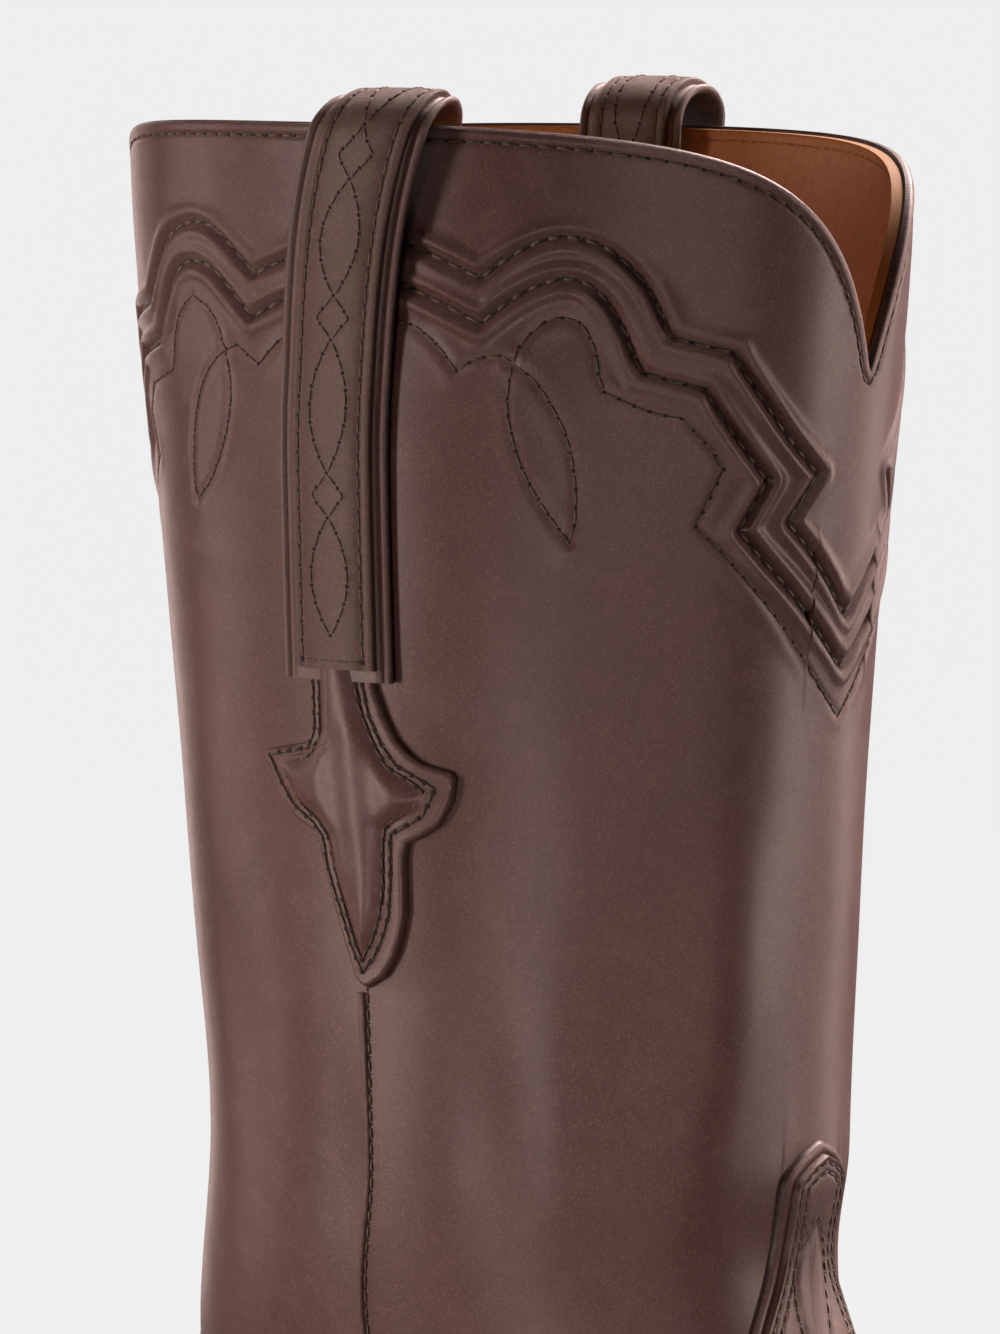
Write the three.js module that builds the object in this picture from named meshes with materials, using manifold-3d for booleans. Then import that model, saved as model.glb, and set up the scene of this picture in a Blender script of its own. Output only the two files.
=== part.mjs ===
// A western boot for the right foot, assembled from its separate leather, cork, rubber and steel pieces.
// Millimetres. X runs from heel to toe, Y towards the inner side of the leg, Z up from the floor.
import * as THREE from 'three';
import { mergeVertices } from 'three/addons/utils/BufferGeometryUtils.js';
import Module from 'manifold-3d';

const wasm = await Module();
wasm.setup();

// Heights
const rimHeight = 340.5;        // top edge at the sides of the leg
const frontScallop = 38.5;      // depth of the V in the front of the rim
const backScallop = 26;         // depth of the V in the back of the rim
const frontScallopSpread = 15.5;  // degrees round the leg in which a scallop fades to a third
const backScallopSpread = 13.5;
const heelSeat = 44;            // feather edge under the heel
const treadLine = 8.8;          // feather edge under the ball of the foot
const toeLine = 16;             // feather edge at the tip of the toe
const tread = { rise: -10, flat: 95, toe: 150, tip: 222 };  // where the sole line changes along X

// Leather layers, as offsets from the outer face of the leg leather
const layers = {
  lining: [-3.6, -2.5],
  footLining: [-3.9, -2.9],
  shaft: [-1.7, 0],
  cover: [0.8, 2.2],
  welt: [0.35, 1.15],
  tailUnder: [0.4, 1.4],
  tailTop: [1.7, 2.9],
};

// Seams, in degrees round the leg from the back: 90 is the outer side, 180 the front
const outerSeam = 88;
const innerSeam = 272;
const seamGap = 0.3;            // degrees left open beside each seam
const ankle = 138;              // level below which the seams depart from their angle
const seamFootTurn = 62;        // turn of the side seams round the lowest section
const liningJoin = 150;         // level where the leg lining meets the vamp lining
const toePuffTop = 76;          // level of the toe puff's rear edge
const toePuffReach = 60;        // degrees each side of the toe
const featherGap = 1.6;         // levels between the feather edge and the lower edge of the upper
const sideWeltFoot = 84;

// Pull straps
const strapCentre = 85.6;       // degrees round the leg at the foot of a strap
const strapSwing = { from: 285, over: 50, lateral: 6.4, medial: 2.1 };  // loops lean forward at the top
const strapWidth = 22;
const facingWidth = 16;
const bandThickness = 1.4;
const facingThickness = 1.2;
const strapGap = 0.45;          // clearance between a strap and the leg
const strapFoot = 252;          // lower end of the outer leg of a strap
const strapInsideFoot = 286;    // lower end of the inner leg
const facingInsideFoot = 296;
const leanFoot = 300;           // height from which the legs lean away from the leather
const archCentre = 341;         // springing line of the loop over the rim
const archHalfSpan = 5.6;       // inside measures of the loop
const archRise = 5;

// Tail below a strap: [height, rear edge, front edge], the edges in millimetres forward of the seam
const tailTip = 199.6;
const tailUnderEdges = [[tailTip, 0.2, 1.4], [203, -1.8, 5.5], [209, -4, 8], [216, -6, 9.2], [223, -7.6, 9.2],
  [226, -11, 13.5], [231, -16.8, 18], [236.5, -19.4, 19.1], [239, -12, 11.5], [245, -9, 6.8],
  [249, -8.6, 4.5]];
const tailTopEdges = [[204, -0.4, 1.6], [209, -2.6, 4.4], [216, -4.6, 6], [223, -6, 6],
  [228, -10, 10], [233, -14, 14.5], [237, -10, 10], [243, -7, 6], [247.5, -6.6, 4.4]];

// Bottom of the boot
const layerGap = 0.3;
const soleThickness = 5;
const weltThickness = 3;
const insoleThickness = 3;
const insoleGap = 1.1;          // clearance between the insole and the lining round it
const sockThickness = 1.5;
const weltInner = -8;           // inner edge of the welt, from the feather edge
const heelEdge = 3.2;           // how far the sole stands out past the feather edge at the heel
const forefootEdge = 6.2;
const heelBreastTurn = 55;      // turn from the back where the welt takes over from the heel seat rand
const shank = { back: -38, front: 62, width: 16 };

// Stacked heel
const liftCount = 5;
const heelHeight = 34.8;
const heelCapThickness = 6;
const heelTurn = 52;            // turn from the back where the heel breast cuts the sole's outline
const heelTopBack = -63.2;
const heelFloorBack = -53;
const heelTopBreast = -7;
const heelFloorBreast = -13;
const heelFloorWidth = 0.86;    // heel width at the floor as a share of its width at the top
const nail = { radius: 0.9, headRadius: 2.1, headDepth: 1.4, length: 15, clearance: 0.3, count: 5,
  sweep: 0.62, inset: 10, crowding: 0.8, fromBack: 9 };
const nailSink = 0.8;           // depth of the nail heads above the floor

const leather = { color: 0x5f4543, roughness: 0.5, metalness: 0 };
const strapLeather = { color: 0x52423c, roughness: 0.55, metalness: 0 };
const liningLeather = { color: 0x8a5a2e, roughness: 0.75, metalness: 0 };
const soleLeather = { color: 0x6b4a2f, roughness: 0.6, metalness: 0 };
const edgeLeather = { color: 0x2e2626, roughness: 0.45, metalness: 0 };
const cork = { color: 0x9a7448, roughness: 0.9, metalness: 0 };
const rubber = { color: 0x1f1c1b, roughness: 0.8, metalness: 0 };
const steel = { color: 0x8f9297, roughness: 0.35, metalness: 1 };

const radians = Math.PI / 180;
const root = new THREE.Group();

function add(name, geometry, finish) {
  const mesh = new THREE.Mesh(geometry, new THREE.MeshStandardMaterial(finish));
  mesh.name = name;
  root.add(mesh);
}

// Half widths of an oval section at 30, 60, 90, 120 and 150 degrees from its back
const oval = (half) => [0.522, 0.878, 1, 0.878, 0.522].map((share) => share * half);

// Sections of the outer face, from the feather edge up the foot to the top of the leg.
// Each one starts at its height at the back and runs to a point at the front.
const sections = [
  { height: 44, back: -60, front: 222, frontHeight: 16, half: [27, 27, 39, 44, 22], follow: 1 },
  { height: 62, back: -65, front: 219, frontHeight: 30, half: [30, 31, 43, 45, 21], follow: 0.9 },
  { height: 80, back: -66, front: 198, frontHeight: 44, half: [27, 32, 40, 38, 18], follow: 0.7 },
  { height: 98, back: -65, front: 160, frontHeight: 59, half: [24, 34, 37, 31, 14], follow: 0.45 },
  { height: 112, back: -62, front: 118, frontHeight: 77, half: [22, 35, 38, 29, 13], follow: 0.25 },
  { height: 125, back: -60, front: 82, frontHeight: 99, half: [21, 36, 40, 32, 16], follow: 0.1 },
  { height: 138, back: -58, front: 60, frontHeight: 138, half: oval(43), follow: 0 },
  { height: 170, back: -55, front: 60.3, frontHeight: 170, half: oval(45), follow: 0 },
  { height: 202, back: -57.5, front: 61.6, frontHeight: 202, half: oval(45.7), follow: 0 },
  { height: 254, back: -63.2, front: 64.6, frontHeight: 254, half: oval(46.7), follow: 0 },
  { height: 320, back: -70.5, front: 71.6, frontHeight: 320, half: oval(48.1), follow: 0 },
  { height: 350, back: -72, front: 72, frontHeight: 350, half: oval(48.6), follow: 0 },
];

// Smooth step from 0 to 1
const smooth = (t) => {
  const u = Math.min(1, Math.max(0, t));
  return u * u * (3 - 2 * u);
};

// Height of the feather edge above the floor
const soleLine = (x) => heelSeat
  - (heelSeat - treadLine) * smooth((x - tread.rise) / (tread.flat - tread.rise))
  + (toeLine - treadLine) * Math.max(0, (x - tread.toe) / (tread.tip - tread.toe)) ** 2;

// Sideways shift of the foot's middle line: in at the toe, out at the waist
const middleLine = (x) => 9 * smooth((x - 110) / 130) - 2.5 * Math.exp(-(((x - 50) / 40) ** 2));

// Five sine terms that pass through the five half widths of a section
const waves = (half) => half.map((_, k) => (2 / 6) * half.reduce(
  (sum, width, j) => sum + width * Math.sin((k + 1) * (j + 1) * 30 * radians), 0));

const keys = sections.map((s) => s.height);
const rows = sections.map((s) => [s.back, s.front, s.frontHeight, s.follow, ...waves(s.half)]);

// Slope of the section values at section i
const slopes = rows.map((row, i) => row.map((_, n) => {
  const before = Math.max(0, i - 1);
  const after = Math.min(rows.length - 1, i + 1);
  return (rows[after][n] - rows[before][n]) / (keys[after] - keys[before]);
}));

// Section values at any level, by cubic interpolation
function sectionAt(level) {
  let i = keys.findIndex((key) => key > level) - 1;
  if (i < 0) i = level < keys[0] ? 0 : keys.length - 2;
  const span = keys[i + 1] - keys[i];
  const t = (level - keys[i]) / span;
  const a = 2 * t ** 3 - 3 * t ** 2 + 1;
  const b = (t ** 3 - 2 * t ** 2 + t) * span;
  const c = 3 * t ** 2 - 2 * t ** 3;
  const d = (t ** 3 - t ** 2) * span;
  return rows[i].map((value, n) => a * value + b * slopes[i][n] + c * rows[i + 1][n] + d * slopes[i + 1][n]);
}

// Turn round a section for an angle round the leg. The side seams stay upright below the ankle,
// where the sections grow forward, so the angles in front of them spread out and those behind close up.
function turnAt(level, degrees) {
  const lifted = Math.min(1, Math.max(0, (level - heelSeat) / (ankle - heelSeat)));
  const seamTurn = seamFootTurn + (outerSeam - seamFootTurn) * lifted ** 2;
  const side = Math.abs(degrees > 180 ? degrees - 360 : degrees);
  const turn = side < outerSeam ? side * seamTurn / outerSeam
    : 180 - (180 - side) * (180 - seamTurn) / (180 - outerSeam);
  return degrees < 0 || degrees > 180 ? -turn : turn;
}

// Outer face of the leg leather at a level (its height at the back) and an angle round the leg
const face = (level, degrees) => sectionPoint(level, turnAt(level, degrees));

// Point of a section at a turn from its back
function sectionPoint(level, degrees) {
  const [back, front, frontHeight, follow, ...terms] = sectionAt(level);
  const turn = degrees * radians;
  const along = (1 - Math.cos(turn)) / 2;
  const x = back + along * (front - back);
  const half = terms.reduce((sum, term, k) => sum + term * Math.sin((k + 1) * turn), 0);
  const chord = heelSeat + (toeLine - heelSeat) * (x - sections[0].back) / (tread.tip - sections[0].back);
  const z = level + along * (frontHeight - level) + follow * (soleLine(x) - chord);
  return new THREE.Vector3(x, follow * middleLine(x) - half, z);
}

// Point at an offset outwards from that face
function offsetFace(level, degrees, offset) {
  const turnStep = 0.5;
  const levelStep = 0.5;
  const round = face(level, degrees + turnStep).sub(face(level, degrees - turnStep));
  const up = face(level + levelStep, degrees).sub(face(level - levelStep, degrees));
  return face(level, degrees).addScaledVector(round.cross(up).normalize(), offset);
}

// Level at which the face reaches a given height
function levelAt(height, degrees) {
  let low = sections[0].height;
  let high = 352;
  for (let i = 0; i < 26; i += 1) {
    const middle = (low + high) / 2;
    if (face(middle, degrees).z < height) low = middle;
    else high = middle;
  }
  return (low + high) / 2;
}

// Straight lines between [place, value] pairs
function profile(points, place) {
  const i = Math.min(points.length - 2, Math.max(0, points.findIndex((p) => p[0] > place) - 1));
  const last = place >= points[points.length - 1][0] ? points.length - 2 : i;
  const [[x0, y0], [x1, y1]] = [points[last], points[last + 1]];
  return y0 + (y1 - y0) * Math.min(1, Math.max(0, (place - x0) / (x1 - x0)));
}

const fromFront = (degrees) => Math.abs(180 - degrees);
const fromBack = (degrees) => 180 - fromFront(degrees);

// Height of the rim, with a V in front and a shallower one behind
const rimLine = (degrees) => rimHeight
  - frontScallop * Math.exp(-fromFront(degrees) / frontScallopSpread)
  - backScallop * Math.exp(-fromBack(degrees) / backScallopSpread);

// Top edge of the vamp with its tongue, and of the heel counter, against degrees from the middle
const vampLine = (degrees) => profile([[0, 173], [11.5, 167], [13.5, 158], [15.5, 149], [21, 139],
  [29, 129], [44, 115], [68, 99], [92, 80]], fromFront(degrees));
const counterLine = (degrees) => profile([[0, 150], [10.5, 145], [12.5, 137], [16, 127], [26, 114],
  [44, 99], [88, 80]], fromBack(degrees));
const underlap = 11;            // how far a leg panel runs down under the vamp or the counter

// Even steps from one number to another
const steps = (from, to, count) =>
  Array.from({ length: count + 1 }, (_, i) => from + (to - from) * i / count);

// Levels of the rows that all sheets share, closer together round the foot
const sheetRows = [...steps(44, 148, 14), 160, 175, 205, 240, 275, 302, 320, 342];

// Turns from the back of the stations that all bottom pieces share, closer where the sole line bends
const soleTurns = [...steps(0, 40, 5), ...steps(46, 54, 2), ...steps(58, 110, 13), ...steps(117.5, 180, 10)];

// Angles round the two halves of the leg, closer together at the vamp's tongue and at the counter's tab
const frontAngles = (from, to) => [...steps(from, 151, 6), 159, 164.5, 168.5, 174, 180, 186, 191.5, 195.5,
  201, ...steps(209, to, 6)];
const backAngles = (from, to) => [...steps(from, -27, 4), -16, -11, -4, 4, 11, 16, ...steps(27, to, 4)];

// Angle a whole turn on, for the profiles that count from 0 to 360
const turned = (degrees) => (degrees < 0 ? degrees + 360 : degrees);

// Closed body from two matching grids of points, grid[column][row]; the top grid faces outwards
function slab(top, bottom) {
  const columns = top.length;
  const count = top[0].length;
  const corners = [...top.flat(), ...bottom.flat()];
  const at = (side, i, j) => side * columns * count + i * count + j;
  const faces = [];
  const quad = (a, b, c, d) => faces.push(a, b, c, a, c, d);
  for (let i = 0; i < columns - 1; i += 1) {
    for (let j = 0; j < count - 1; j += 1) {
      quad(at(0, i, j), at(0, i + 1, j), at(0, i + 1, j + 1), at(0, i, j + 1));
      quad(at(1, i, j), at(1, i, j + 1), at(1, i + 1, j + 1), at(1, i + 1, j));
    }
    quad(at(0, i, 0), at(1, i, 0), at(1, i + 1, 0), at(0, i + 1, 0));
    quad(at(0, i, count - 1), at(0, i + 1, count - 1), at(1, i + 1, count - 1), at(1, i, count - 1));
  }
  for (let j = 0; j < count - 1; j += 1) {
    quad(at(0, 0, j), at(0, 0, j + 1), at(1, 0, j + 1), at(1, 0, j));
    quad(at(0, columns - 1, j), at(1, columns - 1, j), at(1, columns - 1, j + 1), at(0, columns - 1, j + 1));
  }
  return closed(corners, faces);
}

// Indexed geometry with coincident corners joined and collapsed triangles left out
function closed(corners, faces) {
  const loose = new THREE.BufferGeometry().setFromPoints(corners);
  loose.setIndex(faces);
  const merged = mergeVertices(loose, 1e-3);
  const index = merged.index.array;
  const kept = [];
  for (let i = 0; i < index.length; i += 3) {
    const [a, b, c] = [index[i], index[i + 1], index[i + 2]];
    if (a !== b && b !== c && c !== a) kept.push(a, b, c);
  }
  merged.setIndex(kept);
  merged.computeVertexNormals();
  return merged;
}

// Solid for boolean work, and back
function solidOf(geometry) {
  const bare = geometry.clone();
  bare.deleteAttribute('normal');
  bare.deleteAttribute('uv');
  const merged = mergeVertices(bare, 1e-3);
  return new wasm.Manifold(new wasm.Mesh({
    numProp: 3,
    vertProperties: new Float32Array(merged.attributes.position.array),
    triVerts: new Uint32Array(merged.index.array),
  }));
}

function geometryOf(solid) {
  const { vertProperties, triVerts } = solid.getMesh();
  const geometry = new THREE.BufferGeometry();
  geometry.setAttribute('position', new THREE.BufferAttribute(vertProperties, 3));
  geometry.setIndex(new THREE.BufferAttribute(triVerts, 1));
  geometry.computeVertexNormals();
  return geometry;
}

// A sheet of leather on the form, between two levels given for each angle. All sheets share the
// same rows, held between those two levels, so that the layers nest.
function sheet(angles, low, high, [inner, outer]) {
  const grid = (offset) => angles.map((degrees) => {
    const [bottom, top] = [low(degrees), high(degrees)];
    return sheetRows.map((level) => offsetFace(Math.min(top, Math.max(bottom, level)), degrees, offset));
  });
  return slab(grid(outer), grid(inner));
}

const rimLevel = (degrees) => levelAt(rimLine(turned(degrees)), degrees);
const vampLevel = (drop) => (degrees) => levelAt(vampLine(turned(degrees)) - drop, degrees);
const counterLevel = (drop) => (degrees) => levelAt(counterLine(turned(degrees)) - drop, degrees);
const featherLevel = () => heelSeat + featherGap;
const frontSpan = [outerSeam + seamGap, innerSeam - seamGap];
const backSpan = [innerSeam + seamGap - 360, outerSeam - seamGap];

// Leg: two outer panels, and the linings, which run on down the heel
function leg() {
  const front = frontAngles(...frontSpan);
  const back = backAngles(...backSpan);
  add('shaft_front', sheet(front, vampLevel(underlap), rimLevel, layers.shaft), leather);
  add('shaft_back', sheet(back, counterLevel(underlap), rimLevel, layers.shaft), leather);
  add('lining_front', sheet(front, () => liningJoin, rimLevel, layers.lining), liningLeather);
  add('lining_back', sheet(back, featherLevel, rimLevel, layers.lining), liningLeather);
}

// Foot: vamp and heel counter over the leg panels, with the stiff pieces hidden between cover and lining
function foot() {
  const front = frontAngles(...frontSpan);
  const back = backAngles(...backSpan);
  const toe = front.filter((degrees) => fromFront(degrees) < toePuffReach);
  add('vamp', sheet(front, featherLevel, vampLevel(0), layers.cover), leather);
  const liningTop = () => liningJoin - layerGap;
  add('vamp_lining', sheet(front, featherLevel, liningTop, layers.footLining), liningLeather);
  add('heel_counter_cover', sheet(back, featherLevel, counterLevel(0), layers.cover), leather);
  add('heel_stiffener', sheet(back, featherLevel, counterLevel(underlap + 2), layers.shaft), edgeLeather);
  add('toe_puff', sheet(toe, featherLevel, () => toePuffTop, layers.shaft), edgeLeather);
}

// Narrow strip over the side seam, from the foot covers up to the end of the strap tail
function sideWelt(name, seam, heelward) {
  const angles = [seam - 0.6 + heelward, seam + 0.6 + heelward];
  const low = (degrees) => levelAt(sideWeltFoot, degrees);
  const high = (degrees) => levelAt(tailTip - 1, degrees);
  add(name, sheet(angles, low, high, layers.welt), leather);
}

// Path of a strap over the rim as [height, offset of its inner face], up the outside, over in a
// flat arch and down the inside. The legs lean away from the leather towards the arch.
function strapPath(foot, insideFoot) {
  const middle = layers.lining[0] / 2;
  const lean = (height) => smooth((height - leanFoot) / (archCentre - leanFoot));
  const leg = (rest, top) => (height) => [height, rest + (top - rest) * lean(height)];
  const outside = leg(strapGap, middle + archHalfSpan);
  const inside = leg(layers.lining[0] - strapGap, middle - archHalfSpan);
  const leaning = steps(leanFoot, archCentre, 4).slice(0, -1);
  const arch = steps(0, 180, 8).map((angle) => [
    archCentre + archRise * Math.sin(angle * radians),
    middle + archHalfSpan * Math.cos(angle * radians),
  ]);
  return [
    ...steps(foot, leanFoot, 4).slice(0, -1).map(outside),
    ...leaning.map(outside),
    ...arch,
    ...leaning.reverse().map(inside),
    inside(insideFoot),
  ];
}

// The path moved out by a distance square to itself
function thicken(path, distance) {
  return path.map(([height, offset], i) => {
    const before = path[Math.max(0, i - 1)];
    const after = path[Math.min(path.length - 1, i + 1)];
    const length = Math.hypot(after[0] - before[0], after[1] - before[1]);
    return [
      height - distance * (after[1] - before[1]) / length,
      offset + distance * (after[0] - before[0]) / length,
    ];
  });
}

// Angle of a strap's middle line at a height
function strapAngle(height, mirror) {
  const swing = mirror ? strapSwing.medial : strapSwing.lateral;
  const angle = strapCentre + swing * (Math.max(0, height - strapSwing.from) / strapSwing.over) ** 2;
  return mirror ? 360 - angle : angle;
}

// One layer of a pull strap, on the outer side of the leg or mirrored to the inner side
function strapLayer(mirror, width, path, inner, outer) {
  const across = steps(-width / 2, width / 2, 4);
  const grid = (distance) => across.map((side) => thicken(path, distance).map(([height, offset]) => {
    const legRadius = (sectionAt(height)[1] - sectionAt(height)[0]) / 2;
    const centre = strapAngle(height, mirror);
    return offsetFace(height, centre + side / legRadius / radians, offset);
  }));
  return slab(grid(outer), grid(inner));
}

function pullStrap(side, mirror) {
  const bandOuter = bandThickness;
  const facingInner = bandOuter + layerGap;
  const band = strapPath(strapFoot, strapInsideFoot);
  const facing = strapPath(strapFoot + 2, facingInsideFoot);
  add(`strap_band_${side}`, strapLayer(mirror, strapWidth, band, 0, bandOuter), strapLeather);
  add(`strap_facing_${side}`, strapLayer(mirror, facingWidth, facing, facingInner,
    facingInner + facingThickness), strapLeather);
}

// Sewn-on tail below a strap: heights with the distances of its two edges from the seam
function tailLayer(seam, outline, mirror, thickness) {
  const grid = (offset) => [0, 0.25, 0.5, 0.75, 1].map((share) => outline.map(([height, rear, front]) => {
    const legRadius = (sectionAt(height)[1] - sectionAt(height)[0]) / 2;
    const [from, to] = mirror ? [-front, -rear] : [rear, front];
    return offsetFace(height, seam + (from + share * (to - from)) / legRadius / radians, offset);
  }));
  return slab(grid(thickness[1]), grid(thickness[0]));
}

function strapTail(side, seam, mirror) {
  add(`tail_under_${side}`, tailLayer(seam, tailUnderEdges, mirror, layers.tailUnder), leather);
  add(`tail_top_${side}`, tailLayer(seam, tailTopEdges, mirror, layers.tailTop), leather);
}

// Outline of the sole at the feather edge, moved out by a distance
function solePoint(degrees, distance) {
  const here = sectionPoint(heelSeat, degrees);
  const along = sectionPoint(heelSeat, degrees + 0.5).sub(sectionPoint(heelSeat, degrees - 0.5));
  const out = new THREE.Vector3(along.y, -along.x, 0).normalize();
  return here.addScaledVector(out, distance);
}

// Plate that follows the sole line between two turns from the back, wide sides at lateral and medial
function solePlate(turns, rowCount, distance, low, high) {
  const grid = (rise) => turns.map((turn) => {
    const outer = solePoint(turn, distance(turn));
    const inner = solePoint(360 - turn, distance(turn));
    return steps(0, 1, rowCount).map((share) => {
      const point = outer.clone().lerp(inner, share);
      return point.setZ(soleLine(point.x) + rise);
    });
  });
  return slab(grid(high), grid(low));
}

// Strip along the edge of the sole between two angles, from one distance out to another
function soleStrip(angles, near, far, low, high) {
  const ring = (degrees, rise) => [far(degrees), near].map((distance) => {
    const point = solePoint(degrees, distance);
    return point.setZ(soleLine(point.x) + rise);
  });
  const grid = (rise) => angles.map((degrees) => ring(degrees, rise));
  return slab(grid(high), grid(low));
}

// How far the sole stands out past the feather edge: more round the forefoot than at the heel
const soleEdge = (turn) => heelEdge + (forefootEdge - heelEdge) * smooth((fromBack(turn) - 45) / 40);

function bottom() {
  const weltTop = -layerGap;
  const weltBottom = weltTop - weltThickness;
  const soleTop = weltBottom - layerGap;
  const inside = layers.lining[0] - insoleGap;
  const between = (from, to) => soleTurns.filter((turn) => turn >= from && turn <= to);
  const forefoot = between(heelBreastTurn, 180);
  const seat = between(0, heelBreastTurn - 1);
  const weltAngles = [...forefoot, ...forefoot.slice(0, -1).reverse().map((turn) => 360 - turn)];
  const randAngles = [...seat.slice(1).reverse().map((turn) => -turn), ...seat];
  add('insole', solePlate(soleTurns, 2, () => inside, 0, insoleThickness), soleLeather);
  add('sock_lining', solePlate(between(8, 58), 2, () => inside - 1.5, insoleThickness + layerGap,
    insoleThickness + layerGap + sockThickness), liningLeather);
  add('welt', soleStrip(weltAngles, weltInner, soleEdge, weltBottom, weltTop), edgeLeather);
  add('heel_seat_rand', soleStrip(randAngles, weltInner, soleEdge, weltBottom, weltTop), edgeLeather);
  add('cork_filler', solePlate(between(84, 176), 2, () => weltInner - layerGap, weltBottom, weltTop), cork);
  add('shank', shankPlate(weltBottom + 0.6, weltBottom + 2.2), steel);
  add('outsole', solePlate(soleTurns, 2, soleEdge, soleTop - soleThickness, soleTop), soleLeather);
}

// Steel strip in the waist, between the insole and the outsole
function shankPlate(low, high) {
  const grid = (rise) => steps(shank.back, shank.front, 8).map((x) => [-shank.width / 2, shank.width / 2]
    .map((y) => new THREE.Vector3(x, y + middleLine(x), soleLine(x) + rise)));
  return slab(grid(high), grid(low));
}

// Outline of the stacked heel at a height: wide sides at a turn from the back
function heelGrid(height) {
  const share = height / heelHeight;
  const backX = heelFloorBack + (heelTopBack - heelFloorBack) * share;
  const breastX = heelFloorBreast + (heelTopBreast - heelFloorBreast) * share;
  const narrow = heelFloorWidth + (1 - heelFloorWidth) * share;
  const topBack = solePoint(0, heelEdge).x;
  const topBreast = solePoint(heelTurn, heelEdge).x;
  return steps(0, heelTurn, 9).map((turn) => {
    const rim = solePoint(turn, heelEdge);
    const x = backX + (breastX - backX) * (rim.x - topBack) / (topBreast - topBack);
    const half = -rim.y * narrow;
    return [-half, 0, half].map((y) => new THREE.Vector3(x, y, height));
  });
}

// Nail driven up through the heel cap into the stack, head at the floor side
function nailProfile(extra) {
  const { radius, headRadius, headDepth, length } = nail;
  const shape = [[0, -extra], [headRadius + extra, -extra], [headRadius + extra, headDepth + extra],
    [radius + extra, headDepth + extra], [radius + extra, length + extra], [0, length + extra]];
  const geometry = new THREE.LatheGeometry(shape.map(([r, z]) => new THREE.Vector2(r, z)), 12);
  return geometry.rotateX(Math.PI / 2);
}

function heel() {
  const liftHeight = (heelHeight - heelCapThickness) / liftCount;
  const lastTurn = heelTurn * nail.sweep;
  const backmost = solePoint(0, heelEdge - nail.inset).x;
  const places = steps(-lastTurn, lastTurn, nail.count - 1).map((turn) => {
    const rim = solePoint(turn, heelEdge - nail.inset);
    const forward = (rim.x - backmost) * nail.crowding;
    return [heelFloorBack + nail.fromBack + forward, rim.y * heelFloorWidth, nailSink];
  });
  const drilled = (geometry) => places.reduce((solid, place) => solid.subtract(
    solidOf(nailProfile(nail.clearance).translate(...place))), solidOf(geometry));
  const block = (low, high) => slab(heelGrid(high), heelGrid(low));
  add('heel_cap', geometryOf(drilled(block(0, heelCapThickness - layerGap))), rubber);
  for (let i = 0; i < liftCount; i += 1) {
    const low = heelCapThickness + i * liftHeight;
    const lift = block(low, low + liftHeight - layerGap);
    const nailed = low < nailSink + nail.length;
    add(`heel_lift_${i + 1}`, nailed ? geometryOf(drilled(lift)) : lift, edgeLeather);
  }
  places.forEach((place, i) => add(`heel_nail_${i + 1}`, nailProfile(0).translate(...place), steel));
}

leg();
foot();
sideWelt('side_welt_lateral', outerSeam, -0.5);
sideWelt('side_welt_medial', innerSeam, 0.5);
pullStrap('lateral', false);
pullStrap('medial', true);
strapTail('lateral', outerSeam, false);
strapTail('medial', innerSeam, true);
bottom();
heel();

// The origin stands under the middle of the boot's box, on the floor
const box = new THREE.Box3().setFromObject(root);
root.position.set(-(box.min.x + box.max.x) / 2, -(box.min.y + box.max.y) / 2, -box.min.z);

export default root;
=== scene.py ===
import bpy
import bmesh
import math
import numpy as np
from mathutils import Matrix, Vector


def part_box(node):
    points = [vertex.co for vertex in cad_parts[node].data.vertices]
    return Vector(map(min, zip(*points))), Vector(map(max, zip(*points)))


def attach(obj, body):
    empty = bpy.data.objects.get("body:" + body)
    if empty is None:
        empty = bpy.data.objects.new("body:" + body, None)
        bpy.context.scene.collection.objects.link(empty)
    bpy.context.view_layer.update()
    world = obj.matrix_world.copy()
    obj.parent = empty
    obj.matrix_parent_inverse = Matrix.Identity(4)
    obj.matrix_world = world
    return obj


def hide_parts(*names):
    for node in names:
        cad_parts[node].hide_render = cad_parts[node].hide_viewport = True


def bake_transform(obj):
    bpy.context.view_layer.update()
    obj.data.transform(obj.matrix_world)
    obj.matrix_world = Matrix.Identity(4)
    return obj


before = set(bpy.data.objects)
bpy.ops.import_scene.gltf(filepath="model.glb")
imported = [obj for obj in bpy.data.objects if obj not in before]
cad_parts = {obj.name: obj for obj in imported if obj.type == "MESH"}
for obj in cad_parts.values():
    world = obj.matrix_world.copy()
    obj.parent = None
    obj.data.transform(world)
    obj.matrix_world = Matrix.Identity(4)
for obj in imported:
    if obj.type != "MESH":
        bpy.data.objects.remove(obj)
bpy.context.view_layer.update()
print("frame loaded:", len(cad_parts), "nodes")

# the last: outer face of the leg leather, in mm, X to the toe, Y to the inner side

heelSeat = 44     # feather edge under the heel
treadLine = 8.8   # feather edge under the ball
toeLine = 16      # feather edge at the tip
toeTip = 222
perRadian = 57.2958
ankle = 138
outerSeam = 88    # degrees round the leg from the back
innerSeam = 272
seamGap = 0.05    # degrees left open beside each side seam
seamFootTurn = 62
soleTip = toeTip + 6.2  # the outsole stands out past the toe


def oval(half):
    return [share * half for share in (0.522, 0.878, 1, 0.878, 0.522)]


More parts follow.
